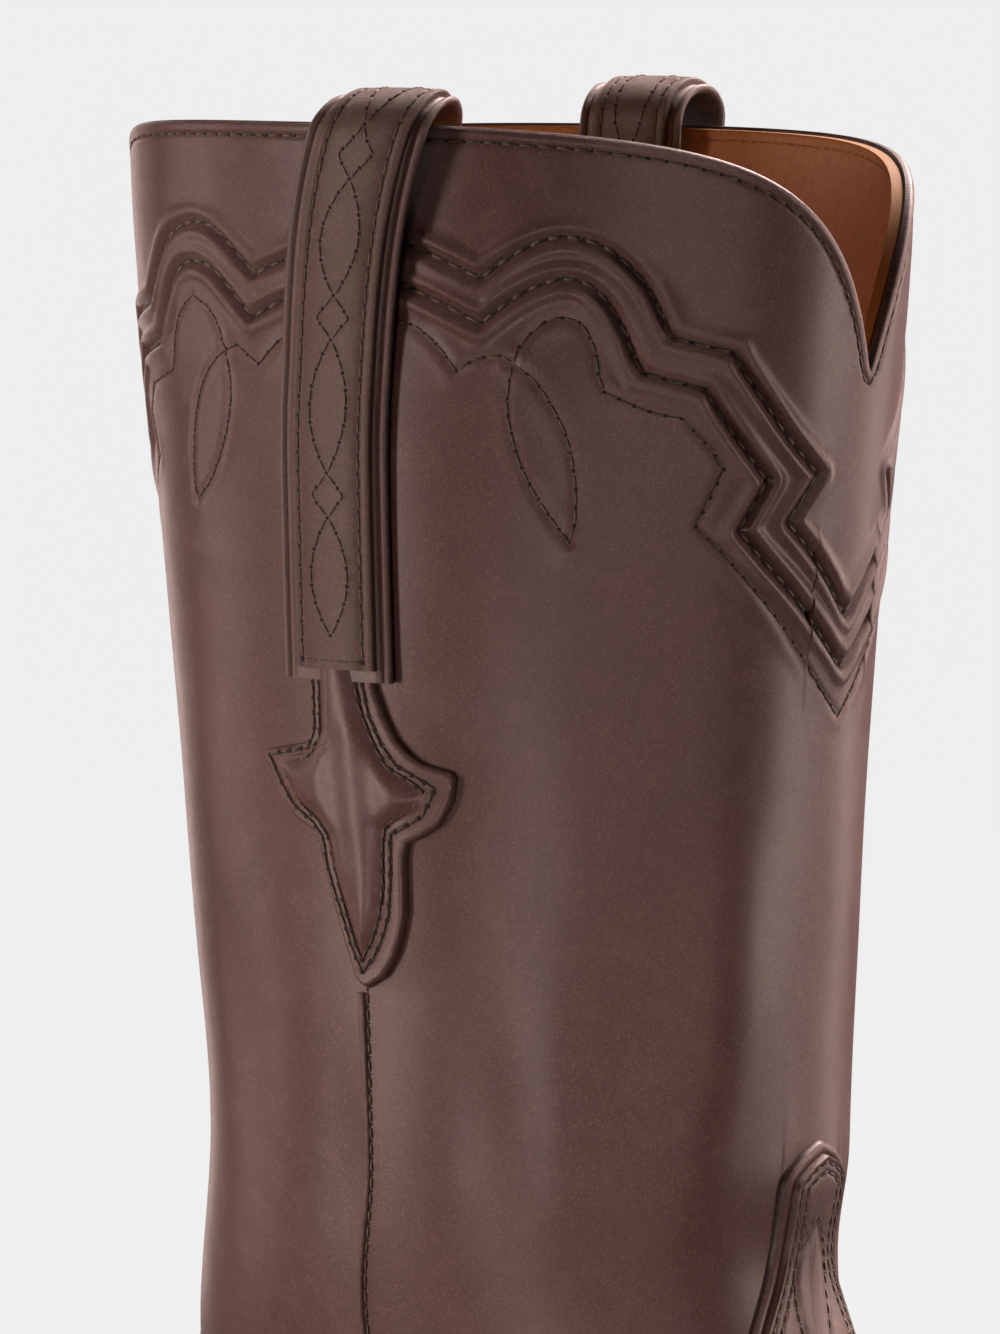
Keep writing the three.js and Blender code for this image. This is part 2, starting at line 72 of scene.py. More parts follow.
# level at the back, back, front, height at the front, half widths at 30 to 150 degrees,
# share of the sole's bend
sections = [
    (44, -60, 222, 16, [27, 27, 39, 44, 22], 1),
    (62, -65, 219, 30, [30, 31, 43, 45, 21], 0.9),
    (80, -66, 198, 44, [27, 32, 40, 38, 18], 0.7),
    (98, -65, 160, 59, [24, 34, 37, 31, 14], 0.45),
    (112, -62, 118, 77, [22, 35, 38, 29, 13], 0.25),
    (125, -60, 82, 99, [21, 36, 40, 32, 16], 0.1),
    (138, -58, 60, 138, oval(43), 0),
    (170, -55, 60.3, 170, oval(45), 0),
    (202, -57.5, 61.6, 202, oval(45.7), 0),
    (254, -63.2, 64.6, 254, oval(46.7), 0),
    (320, -70.5, 71.6, 320, oval(48.1), 0),
    (350, -72, 72, 350, oval(48.6), 0),
]
waveBase = np.sin(np.outer(np.arange(1, 6), np.arange(1, 6)) * math.pi / 6) / 3
keys = np.array([row[0] for row in sections], float)
rowValues = np.array([[b, f, h, follow, *(waveBase @ np.array(half, float))]
                      for _, b, f, h, half, follow in sections])
before = np.maximum(np.arange(len(keys)) - 1, 0)
after = np.minimum(np.arange(len(keys)) + 1, len(keys) - 1)
rowSlopes = (rowValues[after] - rowValues[before]) / (keys[after] - keys[before])[:, None]
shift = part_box("outsole")[1][0] * 1000 - soleTip  # the frame's origin is under the middle of the boot


def ramp(t):  # smooth step from 0 to 1
    u = np.clip(t, 0, 1)
    return u * u * (3 - 2 * u)


def bell(t):
    return np.exp(-np.square(t))


def unit(v):
    return v / np.linalg.norm(v, axis=-1, keepdims=True)


def runningLength(points):
    return np.concatenate([[0], np.cumsum(np.linalg.norm(np.diff(points, axis=0), axis=1))])


def soleLine(x):
    rise = np.maximum(0, (x - 150) / (toeTip - 150)) ** 2
    return heelSeat - (heelSeat - treadLine) * ramp((x + 10) / 105) + (toeLine - treadLine) * rise


def middleLine(x):
    return 9 * ramp((x - 110) / 130) - 2.5 * bell((x - 50) / 40)


def sectionAt(level):
    i = np.clip(np.searchsorted(keys, level, side="right") - 1, 0, len(keys) - 2)
    span = keys[i + 1] - keys[i]
    t = ((level - keys[i]) / span)[..., None]
    span = span[..., None]
    return ((2 * t**3 - 3 * t**2 + 1) * rowValues[i] + (t**3 - 2 * t**2 + t) * span * rowSlopes[i]
            + (3 * t**2 - 2 * t**3) * rowValues[i + 1] + (t**3 - t**2) * span * rowSlopes[i + 1])


def sectionPoint(level, degrees):
    level, degrees = np.broadcast_arrays(np.asarray(level, float), np.asarray(degrees, float))
    values = sectionAt(level)
    back, front, frontHeight, follow = (values[..., k] for k in range(4))
    turn = np.radians(degrees)
    along = (1 - np.cos(turn)) / 2
    x = back + along * (front - back)
    half = sum(values[..., 4 + k] * np.sin((k + 1) * turn) for k in range(5))
    chord = heelSeat + (toeLine - heelSeat) * (x + 60) / (toeTip + 60)
    z = level + along * (frontHeight - level) + follow * (soleLine(x) - chord)
    return np.stack([x, follow * middleLine(x) - half, z], -1)


def face(level, degrees):  # below the ankle the side seams stay upright while the sections grow forward
    level, degrees = np.broadcast_arrays(np.asarray(level, float), np.asarray(degrees, float))
    lifted = np.clip((level - heelSeat) / (ankle - heelSeat), 0, 1)
    seamTurn = seamFootTurn + (outerSeam - seamFootTurn) * lifted**2
    folded = (degrees + 180) % 360 - 180
    side = np.abs(folded)
    turn = np.where(side < outerSeam, side * seamTurn / outerSeam,
                    180 - (180 - side) * (180 - seamTurn) / (180 - outerSeam))
    return sectionPoint(level, np.sign(folded) * turn)


def normalAt(level, degrees):
    across = face(level, degrees + 0.5) - face(level, degrees - 0.5)
    up = face(level + 0.5, degrees) - face(level - 0.5, degrees)
    return unit(np.cross(across, up))


def onForm(level, degrees, offset):
    level, degrees = np.broadcast_arrays(np.asarray(level, float), np.asarray(degrees, float))
    return face(level, degrees) + normalAt(level, degrees) * np.asarray(offset, float)[..., None]


def levelAt(height, degrees):
    height, degrees = np.broadcast_arrays(np.asarray(height, float), np.asarray(degrees, float))
    low = np.full(height.shape, float(heelSeat))
    high = np.full(height.shape, 352.0)
    for _ in range(26):
        middle = (low + high) / 2
        below = face(middle, degrees)[..., 2] < height
        low = np.where(below, middle, low)
        high = np.where(below, high, middle)
    return (low + high) / 2


arcLevels = np.arange(44, 353, 4.0)
arcPoints = face(arcLevels[:, None], np.arange(181.0)[None])
arcTable = np.concatenate([np.zeros((len(arcLevels), 1)),
                           np.cumsum(np.linalg.norm(np.diff(arcPoints, axis=1), axis=-1), 1)], 1)


def arcFromBack(level, side):  # distance round the leg from the back, both ways between table entries
    i = np.clip((level - arcLevels[0]) / 4, 0, len(arcLevels) - 1.001)
    j = np.clip(side, 0, 179.999)
    i0, j0 = i.astype(int), j.astype(int)
    fi, fj = i - i0, j - j0
    low = arcTable[i0, j0] * (1 - fj) + arcTable[i0, j0 + 1] * fj
    high = arcTable[i0 + 1, j0] * (1 - fj) + arcTable[i0 + 1, j0 + 1] * fj
    return low * (1 - fi) + high * fi


def alongLeg(level, degrees, front):  # distance from the middle of the front or back, outer side positive
    folded = (degrees + 180) % 360 - 180
    arc = arcFromBack(level, np.abs(folded))
    if front:
        arc = arcFromBack(level, np.full(arc.shape, 180.0)) - arc
    return np.sign(folded) * arc


def degreesAt(level, along, front):
    level, along = np.broadcast_arrays(np.asarray(level, float), np.asarray(along, float))
    whole = arcFromBack(level, np.full(level.shape, 180.0))
    target = whole - np.abs(along) if front else np.abs(along)
    side = np.full(level.shape, 90.0)
    for _ in range(14):
        side = np.clip(side + (target - arcFromBack(level, side)) * 180 / whole, 0, 180)
    return np.where(along < 0, (360 - side) if front else -side, side)


def placeAt(along, height, front):  # (level, degrees) of a point given as (distance round, height)
    along, height = np.asarray(along, float), np.asarray(height, float)
    degrees = degreesAt(np.maximum(height, ankle), along, front)
    level = height.copy()
    for _ in range(3):
        low = height < ankle + 6
        if low.any():
            level[low] = levelAt(height[low], degrees[low])
            degrees[low] = degreesAt(level[low], along[low], front)
    return level, degrees


# materials


def colour(code):  # sRGB hex to linear
    parts = [int(code[i:i + 2], 16) / 255 for i in (0, 2, 4)]
    return [p / 12.92 if p <= 0.04045 else ((p + 0.055) / 1.055) ** 2.4 for p in parts] + [1]


def add(tree, kind, sockets=None, **settings):  # a node; a socket's value may be another's output
    made = tree.nodes.new("ShaderNode" + kind)
    for key, value in settings.items():
        setattr(made, key, value)
    for key, value in (sockets or {}).items():
        if isinstance(value, bpy.types.NodeSocket):
            tree.links.new(value, made.inputs[key])
        else:
            made.inputs[key].default_value = value
    return made


def startMaterial(name):
    material = bpy.data.materials.new(name)
    material.use_nodes = True
    tree = material.node_tree
    tree.nodes.clear()
    output = add(tree, "OutputMaterial")
    shader = add(tree, "BsdfPrincipled")
    tree.links.new(shader.outputs[0], output.inputs["Surface"])
    place = add(tree, "TexCoord").outputs["Object"]
    return material, tree, shader, place


def mixOf(tree, factor, a, b):
    return add(tree, "Mix", {0: factor, 6: a, 7: b}, data_type="RGBA").outputs[2]


def spread(tree, value, low, high, toLow=0.0, toHigh=1.0):
    return add(tree, "MapRange", {0: value, 1: low, 2: high, 3: toLow, 4: toHigh}).outputs[0]


def perMetre(millimetres):
    return 1000 / millimetres


calf = dict(base="5b3a34", warm="66433b", deep="261816", wornAndGlint="94736a", grain=0.6, creaseAndGrooveShade=6.5,
            roughness=0.42, coat=0.4, coatRoughness=0.36)


def finishedCalf(name, look):
    # calf leather, aniline dyed and hand finished: fine pebble of milled grain, cloudy dye, soft satin gloss
    material, tree, shader, place = startMaterial(name)
    clouds = add(tree, "TexNoise", {"Vector": place, "Scale": perMetre(38), "Detail": 3.0, "Roughness": 0.55})
    mottle = add(tree, "TexNoise", {"Vector": place, "Scale": perMetre(5), "Detail": 4.0, "Roughness": 0.6})
    wavy = add(tree, "VectorMath", {0: place, 1: (1.0, 1.0, 1.7)}, operation="MULTIPLY")
    warp = add(tree, "TexNoise", {"Vector": place, "Scale": perMetre(2.2), "Detail": 2.0})
    nudged = add(tree, "VectorMath", {0: warp.outputs["Color"], 1: wavy.outputs[0], 2: wavy.outputs[0]},
                 operation="MULTIPLY_ADD")
    pebble = add(tree, "TexVoronoi", {"Vector": nudged.outputs[0], "Scale": perMetre(look["grain"]),
                                      "Randomness": 1.0}, feature="DISTANCE_TO_EDGE")
    creases = add(tree, "TexVoronoi", {"Vector": nudged.outputs[0], "Scale": perMetre(look["creaseAndGrooveShade"])},
                  feature="DISTANCE_TO_EDGE")
    poresAndGlints = add(tree, "TexNoise", {"Vector": place, "Scale": perMetre(0.42), "Detail": 2.0})
    pebbleRise = spread(tree, pebble.outputs["Distance"], 0.0, 0.32)
    creaseRise = spread(tree, creases.outputs["Distance"], 0.0, 0.06)
    grainHeight = add(tree, "Math", {0: pebbleRise, 1: 0.7}, operation="MULTIPLY").outputs[0]
    for layer in (poresAndGlints.outputs[0], creaseRise):
        raised = add(tree, "Math", {0: layer, 1: 0.35, 2: grainHeight}, operation="MULTIPLY_ADD")
        grainHeight = raised.outputs[0]
    bump = add(tree, "Bump", {"Strength": 0.62, "Distance": 0.00026, "Height": grainHeight})
    softBump = add(tree, "Bump", {"Strength": 0.35, "Distance": 0.0009, "Height": mottle.outputs[0],
                                  "Normal": bump.outputs[0]})
    base = mixOf(tree, spread(tree, clouds.outputs[0], 0.35, 0.68), colour(look["base"]),
                 colour(look["warm"]))
    base = mixOf(tree, spread(tree, mottle.outputs[0], 0.5, 0.8, 0.0, 0.25), base, colour(look["wornAndGlint"]))
    # painted highlight: fine pale specks from the pore noise stand in for the glints on the grain
    base = mixOf(tree, spread(tree, poresAndGlints.outputs[0], 0.5, 0.68, 0.0, 0.42), base, colour(look["wornAndGlint"]))
    # painted shade: the crevices between the pebbles darken towards the deep colour
    base = mixOf(tree, spread(tree, pebble.outputs["Distance"], 0.0, 0.16, 0.5, 0.0), base,
                 colour(look["deep"]))
    # painted shade: the sewn grooves and steps are darkened towards 1a1011, read from a point attribute stored
    # on the sheets
    foldAndGrooveShade = add(tree, "Attribute", attribute_name="creaseAndGrooveShade")
    base = mixOf(tree, spread(tree, foldAndGrooveShade.outputs["Fac"], 0.35, 1.0, 0.0, 0.75), base, colour("1a1011"))
    tree.links.new(base, shader.inputs["Base Color"])
    rough = spread(tree, mottle.outputs[0], 0.3, 0.7, look["roughness"] - 0.05, look["roughness"] + 0.07)
    tree.links.new(rough, shader.inputs["Roughness"])
    tree.links.new(softBump.outputs[0], shader.inputs["Normal"])
    shader.inputs["IOR"].default_value = 1.48
    shader.inputs["Coat Weight"].default_value = look["coat"]
    shader.inputs["Coat Roughness"].default_value = look["coatRoughness"]
    return material


def liningCalf(name, code, paler, grain):
    # vegetable-tanned lining calf, undyed: smooth warm tan with faint growth marks, nearly matt
    material, tree, shader, place = startMaterial(name)
    clouds = add(tree, "TexNoise", {"Vector": place, "Scale": perMetre(30), "Detail": 4.0})
    fibres = add(tree, "TexNoise", {"Vector": place, "Scale": perMetre(grain), "Detail": 5.0,
                                    "Roughness": 0.65})
    base = mixOf(tree, spread(tree, clouds.outputs[0], 0.3, 0.7), colour(code), colour(paler))
    base = mixOf(tree, spread(tree, fibres.outputs[0], 0.35, 0.6, 0.3, 0.0), base, colour("6b3f1c"))
    tree.links.new(base, shader.inputs["Base Color"])
    bump = add(tree, "Bump", {"Strength": 0.3, "Distance": 0.0002, "Height": fibres.outputs[0]})
    tree.links.new(bump.outputs[0], shader.inputs["Normal"])
    shader.inputs["Roughness"].default_value = 0.58
    shader.inputs["IOR"].default_value = 1.46
    return material


def burnishedEdge(name, code, lighter, layer, roughness):
    # cut leather edge, inked and burnished: fibre layers show as fine level streaks under a dull wax shine
    material, tree, shader, place = startMaterial(name)
    flat = add(tree, "VectorMath", {0: place, 1: (0.06, 0.06, 1.0)}, operation="MULTIPLY")
    streaks = add(tree, "TexNoise", {"Vector": flat.outputs[0], "Scale": perMetre(layer), "Detail": 4.0})
    scuff = add(tree, "TexNoise", {"Vector": place, "Scale": perMetre(7), "Detail": 5.0})
    base = mixOf(tree, spread(tree, streaks.outputs[0], 0.38, 0.66), colour(code), colour(lighter))
    tree.links.new(base, shader.inputs["Base Color"])
    rough = spread(tree, scuff.outputs[0], 0.3, 0.7, roughness - 0.08, roughness + 0.1)
    tree.links.new(rough, shader.inputs["Roughness"])
    bump = add(tree, "Bump", {"Strength": 0.4, "Distance": 0.00025, "Height": streaks.outputs[0]})
    tree.links.new(bump.outputs[0], shader.inputs["Normal"])
    shader.inputs["IOR"].default_value = 1.5
    return material


def waxedThread(name, code, darker, ply):
    # waxed polyester sewing thread: twisted plies give slanting dark lines and a small dull sparkle
    material, tree, shader, place = startMaterial(name)
    slant = add(tree, "Mapping", {"Vector": place, "Rotation": (0.6, 0.5, 0.8)})
    twist = add(tree, "TexWave", {"Vector": slant.outputs[0], "Scale": perMetre(ply) / 10, "Distortion": 1.5,
                                  "Detail": 2.0})
    tone = add(tree, "TexNoise", {"Vector": place, "Scale": perMetre(3.2), "Detail": 2.0})
    base = mixOf(tree, spread(tree, tone.outputs[0], 0.35, 0.65), colour(code), colour(darker))
    base = mixOf(tree, spread(tree, twist.outputs["Fac"], 0.1, 0.5, 0.55, 0.0), base, colour("2a1f17"))
    tree.links.new(base, shader.inputs["Base Color"])
    bump = add(tree, "Bump", {"Strength": 0.5, "Distance": 0.0001, "Height": twist.outputs["Fac"]})
    tree.links.new(bump.outputs[0], shader.inputs["Normal"])
    shader.inputs["Roughness"].default_value = 0.55
    shader.inputs["Sheen Weight"].default_value = 0.15
    return material


def plainNoise(name, code, other, size, roughness, depth, metallic=0.0):
    # one even body with a fine broken-up surface: cork grains, moulded rubber, rolled steel or pressed board
    material, tree, shader, place = startMaterial(name)
    grains = add(tree, "TexVoronoi", {"Vector": place, "Scale": perMetre(size)})
    fine = add(tree, "TexNoise", {"Vector": place, "Scale": perMetre(size / 3), "Detail": 4.0})
    base = mixOf(tree, spread(tree, grains.outputs["Distance"], 0.1, 0.8), colour(code), colour(other))
    tree.links.new(base, shader.inputs["Base Color"])
    rough = spread(tree, fine.outputs[0], 0.3, 0.7, roughness - 0.06, roughness + 0.06)
    tree.links.new(rough, shader.inputs["Roughness"])
    bump = add(tree, "Bump", {"Strength": 0.4, "Distance": depth, "Height": fine.outputs[0]})
    tree.links.new(bump.outputs[0], shader.inputs["Normal"])
    shader.inputs["Metallic"].default_value = metallic
    return material


strapLook = dict(calf, base="5d443a", warm="674c42", deep="30221e", wornAndGlint="8c7064", grain=0.5,
                 roughness=0.5, coat=0.15)
bandLook = dict(calf, base="5e423b", warm="684b43", wornAndGlint="8c6c62", roughness=0.38)
legCalf = finishedCalf("leg calf, milled and waxed", calf)
trimCalf = finishedCalf("trim calf, smooth finish", bandLook)
facingCalf = finishedCalf("facing calf, matt finish", strapLook)
tanLining = liningCalf("lining calf, vegetable tanned", "9c6a38", "a87644", 1.4)
liningEdge = liningCalf("lining edge, raw cut", "8f6431", "9c6f3a", 0.5)
paintedEdge = burnishedEdge("leather edge, painted", "2b1f20", "4a3432", 0.25, 0.45)
stackedEdge = burnishedEdge("heel stack, burnished", "32221c", "4b3327", 0.4, 0.36)
soleEdgeFinish = burnishedEdge("sole edge, burnished", "33231c", "4a3226", 0.35, 0.34)
soleGrain = liningCalf("sole leather, oak bark tanned", "8d6238", "9b7044", 2.2)
oliveThread = waxedThread("thread, waxed olive brown", "50402a", "3b2d1b", 0.45)
tanThread = waxedThread("thread, waxed golden tan", "a9783a", "8f6330", 0.4)
# painted shade: near-black material for the needle holes, dark domes standing in for the shaded pits
needleHoleShade = plainNoise("needle hole, dark", "120b0b", "1b1112", 0.3, 0.9, 0.00005)
corkBoard = plainNoise("cork, ground and pressed", "a57d4e", "7a5632", 1.2, 0.85, 0.0003)
moulded = plainNoise("rubber, moulded", "1c1a19", "262322", 0.8, 0.75, 0.0001)
rolledSteel = plainNoise("steel, cold rolled", "8b8e93", "a2a5a9", 2.5, 0.34, 0.00003, 1.0)
fibreBoard = plainNoise("fibre board, pressed", "6a5138", "7d6246", 0.9, 0.8, 0.0001)
print("materials made")

# making pieces


def piece(name, points, faces, materials, body="boot", replaces=(), creaseAndGrooveShade=None, sharp=50,
          weld=False, paint=None):
    mesh = bpy.data.meshes.new(name)
    world = (np.asarray(points).reshape(-1, 3) + (shift, 0, 0)) / 1000
    # the optional point attribute holds the painted shade of the sewn grooves
    mesh.from_pydata(world.tolist(), [], faces)
    if creaseAndGrooveShade is not None:
        depths = mesh.attributes.new("creaseAndGrooveShade", "FLOAT", "POINT")
        depths.data.foreach_set("value", np.ravel(creaseAndGrooveShade).astype(np.float32))
    for material in (materials if isinstance(materials, list) else [materials]):
        mesh.materials.append(material)
    if paint is not None:
        mesh.polygons.foreach_set("material_index", np.asarray(paint, np.int32))
    work = bmesh.new()
    work.from_mesh(mesh)
    if weld:
        bmesh.ops.remove_doubles(work, verts=work.verts, dist=1e-6)
        bmesh.ops.dissolve_degenerate(work, edges=work.edges, dist=1e-7)
    bmesh.ops.recalc_face_normals(work, faces=work.faces)
    work.to_mesh(mesh)
    work.free()
    mesh.shade_smooth()
    mesh.set_sharp_from_angle(angle=math.radians(sharp))
    made = bpy.data.objects.new(name, mesh)
    bpy.context.scene.collection.objects.link(made)
    if body:
        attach(made, body)
    if replaces:
        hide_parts(*replaces)
    return made


def gridFaces(rowCount, columnCount, closedRows=False, closedColumns=False):
    r = np.arange(rowCount if closedRows else rowCount - 1)
    c = np.arange(columnCount if closedColumns else columnCount - 1)
    r, c = (a.ravel() for a in np.meshgrid(r, c, indexing="ij"))
    nextR, nextC = (r + 1) % rowCount, (c + 1) % columnCount
    return np.stack([r * columnCount + c, r * columnCount + nextC,
                     nextR * columnCount + nextC, nextR * columnCount + c], 1).tolist()


def loopSolid(grid):  # rows run round a closed section, columns along the piece; flat ends
    rowCount, columnCount = grid.shape[:2]
    faces = gridFaces(rowCount, columnCount, closedRows=True)
    faces.append([r * columnCount for r in range(rowCount)])
    faces.append([r * columnCount + columnCount - 1 for r in reversed(range(rowCount))])
    return faces


def resample(points, count=None, step=None):
    points = np.asarray(points, float)
    length = runningLength(points)
    if count is None:
        count = max(2, int(round(length[-1] / step)) + 1)
    at = np.linspace(0, length[-1], count)
    return np.stack([np.interp(at, length, points[:, k]) for k in range(points.shape[1])], 1)


def curveThrough(points, step=0.5):  # smooth curve through the points
    p = np.asarray(points, float)
    if len(p) < 3:
        return resample(p, step=step)
    ends = np.concatenate([[2 * p[0] - p[1]], p, [2 * p[-1] - p[-2]]])
    t = np.linspace(0, 1, 12, endpoint=False)[:, None]
    parts = []
    for a, b, c, d in zip(ends, ends[1:], ends[2:], ends[3:]):
        parts.append(0.5 * (2 * b + (c - a) * t + (2 * a - 5 * b + 4 * c - d) * t**2
                            + (3 * b - a - 3 * c + d) * t**3))
    return resample(np.concatenate(parts + [p[-1:]]), step=step)


def distanceTo(along, height, path):
    nearest = np.full(along.shape, 1e9)
    for a, b in zip(path, path[1:]):
        leg = b - a
        t = np.clip(((along - a[0]) * leg[0] + (height - a[1]) * leg[1]) / (leg @ leg + 1e-9), 0, 1)
        nearest = np.minimum(nearest, np.hypot(along - a[0] - t * leg[0], height - a[1] - t * leg[1]))
    return nearest


# Sewing: every stitch is its own short thread, both ends diving into a needle hole
class Sewing:
    def __init__(self, name, body="boot", thread=oliveThread, blend=None):
        self.name, self.body, self.thread, self.blend = name, body, thread, blend
        self.threads, self.holes = [], []

    def row(self, points, normals, pitch, thick, holeSize, lift=0.0):
        length = runningLength(points)
        count = max(1, int(round(length[-1] / pitch)))
        gap = length[-1] / count
        stations = np.array([-0.5, -0.36, -0.13, 0.13, 0.36, 0.5])
        swell = np.array([0.55, 0.95, 1.0, 1.0, 0.95, 0.55])
        rise = np.array([-0.9, 0.1, 0.42, 0.42, 0.1, -0.9]) * thick / 2 + lift
        at = (np.arange(count)[:, None] + 0.5 + stations[None] * 0.76) * gap

        def interp(values, where):
            return np.stack([np.interp(where, length, values[:, k]) for k in range(3)], -1)

        middle, up = interp(points, at), interp(normals, at)
        up = unit(up)
        along = middle[:, -1] - middle[:, 0]
        along /= np.maximum(np.linalg.norm(along, axis=-1, keepdims=True), 1e-9)
        side = unit(np.cross(up, along[:, None]))
        slant = 0.13 * stations[None, :, None] * thick * 2
        angle = np.arange(6) * math.pi / 3
        ring = (side[:, :, None] * np.cos(angle)[:, None] + up[:, :, None] * np.sin(angle)[:, None] * 0.9)
        body = (middle + side * slant + up * rise[None, :, None])[:, :, None]
        self.threads.append((body + ring * (swell * thick / 2)[None, :, None, None]).reshape(-1, 36, 3))
        # each needle hole is a flat dark dome on the surface: painted shade where the pit would be
        spots = np.arange(count + 1) * gap
        centre, up = interp(points, spots), interp(normals, spots)
        ahead = interp(points, spots + 0.05) - interp(points, spots - 0.05)
        ahead /= np.maximum(np.linalg.norm(ahead, axis=-1, keepdims=True), 1e-9)
        side = np.cross(up, ahead)
        angle = np.arange(8) * math.pi / 4
        rim = (ahead[:, None] * np.cos(angle)[None, :, None] * 1.05
               + side[:, None] * np.sin(angle)[None, :, None]) * holeSize / 2
        centre = centre + up * lift
        dome = np.concatenate([centre[:, None] + rim - up[:, None] * 0.05, (centre + up * 0.2)[:, None],
                               (centre - up * 0.2)[:, None]], 1)
        self.holes.append(dome)

    def finish(self):
        for kind, parts, material in (("stitches", self.threads, self.thread),
                                      ("holes", self.holes, needleHoleShade)):
            points = np.concatenate(parts)
            if kind == "stitches":
                template = gridFaces(6, 6, closedColumns=True) + [list(range(5, -1, -1)), list(range(30, 36))]
            else:
                template = [[k, (k + 1) % 8, 8] for k in range(8)] + [[(k + 1) % 8, k, 9] for k in range(8)]
            size = points.shape[1]
            faces = [[k + i * size for k in one] for i in range(len(points)) for one in template]
            made = piece(f"{self.name}_{kind}", points.reshape(-1, 3), faces, material, None, sharp=80)
            if self.blend:
                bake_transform(made)
            else:
                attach(made, self.body)


# the decoration of the leg, as (distance from the middle, height), each row in runs between corners

frontRows = {
    "heavy": [
        [[(97.5, 326.5), (85, 323), (72.5, 318)],
         [(72.5, 318), (68.5, 321), (64, 323.6), (60, 324.8), (56, 324.7), (51.6, 323.2), (48.2, 320.8),
          (44.7, 317.2), (42, 312.5), (40, 308.6)],
         [(40, 308.6), (29.2, 306)],
         [(29.2, 306), (27, 302.6), (18.3, 292.4), (10.8, 285.5)],
         [(10.8, 285.5), (16.1, 277.8)],
         [(16.1, 277.8), (8.1, 270.3), (0, 261.3)]],
        [[(97.5, 319.4), (84.6, 315.9), (71.9, 310.6)],
         [(71.9, 310.6), (68.7, 313.3), (65, 315.8), (61.2, 317.5), (58.4, 318.1), (55, 317.6), (52.3, 315.9),
          (49.8, 313.2), (47.3, 309), (45.7, 305.6), (44, 302.8)],
         [(44, 302.8), (33.3, 300)],
         [(33.3, 300), (31, 296.5), (26.5, 291), (21, 284.8)],
         [(21, 284.8), (25.3, 276.7)],
         [(25.3, 276.7), (20.2, 271.7), (13.6, 265.8), (0, 252.7)]],
    ],
    "thin": [
        [[(97.5, 313.5), (84.7, 310.3), (81.2, 308.4), (78.7, 306.4), (75.5, 302.8)],
         [(75.5, 302.8), (73, 304.4), (70.8, 305.2), (67.5, 305.4), (65.7, 304.2)],
         [(65.7, 304.2), (65, 306.6), (63.2, 309.1), (60.7, 311.2), (57.9, 311.8), (55, 311), (53.4, 308.9),
          (52, 306), (51.2, 302.6), (50.1, 299.8)],
         [(50.1, 299.8), (43, 296.8), (37, 295.4)],
         [(37, 295.4), (32.4, 291.1), (29, 287)],
         [(29, 287), (31.1, 281.8), (32.9, 277.7)],
         [(32.9, 277.7), (26.7, 272.1), (17.3, 262.7), (11.9, 256.9), (5.1, 249.4), (0, 244.5)]],
        [[(65.7, 304.2), (61.7, 301.5), (57.9, 296.6), (55.3, 291.9), (53.5, 285.6), (52.8, 279.5),
          (53.3, 275)]],
        [[(65.7, 304.2), (66.1, 298), (64.7, 292.4), (62.6, 287.4), (59.7, 282.8), (56.4, 278.6),
          (53.3, 275)]],
    ],
}
backRows = {
    "heavy": [
        [[(92.5, 325), (79, 320.1), (72, 317.6)],
         [(72, 317.6), (65.7, 322.6), (61.7, 325), (57.1, 325.7), (51.8, 324.8), (47.5, 322.7), (44.1, 319.3),
          (38.4, 312.1)],
         [(38.4, 312.1), (26, 309)],
         [(26, 309), (20, 302), (13.5, 295.5)], [(13.5, 295.5), (17.5, 289)], [(17.5, 289), (0, 273)]],
        [[(92.5, 318.2), (78.2, 313.5), (70.5, 310.4)],
         [(70.5, 310.4), (64.1, 315.9), (60.8, 318.1), (56.2, 319.2), (51.5, 318.2), (48.2, 315.6),
          (45.6, 312), (41.4, 305.4)],
         [(41.4, 305.4), (31, 302.8)],
         [(31, 302.8), (24, 295)], [(24, 295), (27, 288)], [(27, 288), (0, 263.5)]],
    ],
    "thin": [
        [[(92.5, 312), (84, 310.2), (76.9, 307), (71.2, 302.6)], [(71.2, 302.6), (66.3, 305.6)],
         [(66.3, 305.6), (62.4, 304.2), (58.3, 301.3), (55.3, 297.9), (53, 293.4), (51.4, 288.4),
          (50.5, 283.7), (51, 279)]],
        [[(54.8, 313.4), (59, 311.6), (61.7, 308.7), (63.4, 303.8), (63.9, 299.3), (62.9, 294.4),
          (60.4, 288.9), (55.9, 282.8), (51, 279)]],
        [[(54.8, 313.4), (50.3, 310.7), (47.8, 307), (45.7, 300.5)], [(45.7, 300.5), (35, 297.6)],
         [(35, 297.6), (31, 293)], [(31, 293), (34.5, 285.5)], [(34.5, 285.5), (0, 255)]],
    ],
}
rowShape = dict(heavyGroove=0.95, heavyWidth=0.72, ridge=0.72, ridgeAt=1.9, ridgeWidth=1.15,
                thinGroove=0.2, thinWidth=0.55, rimRow=2.3)


def smoothRows(rows):
    return {kind: [[curveThrough(run) for run in row] for row in group] for kind, group in rows.items()}


def patternRelief(along, height, rows):
    side = np.abs(along)
    relief = np.zeros(along.shape)
    near = (height > 236) & (height < 334)
    a, h = side[near], height[near]
    total = np.zeros(a.shape)
    for row in rows["heavy"]:
        path = np.concatenate([resample(run, step=1.0) for run in row])
        d = distanceTo(a, h, path)
        total += rowShape["ridge"] * bell((d - rowShape["ridgeAt"]) / rowShape["ridgeWidth"])
        total -= rowShape["heavyGroove"] * bell(d / rowShape["heavyWidth"])
    for row in rows["thin"]:
        path = np.concatenate([resample(run, step=1.2) for run in row])
        d = distanceTo(a, h, path)
        total += 0.12 * bell((d - 1.7) / 1.2) - rowShape["thinGroove"] * bell(d / rowShape["thinWidth"])
    relief[near] = total
    return relief


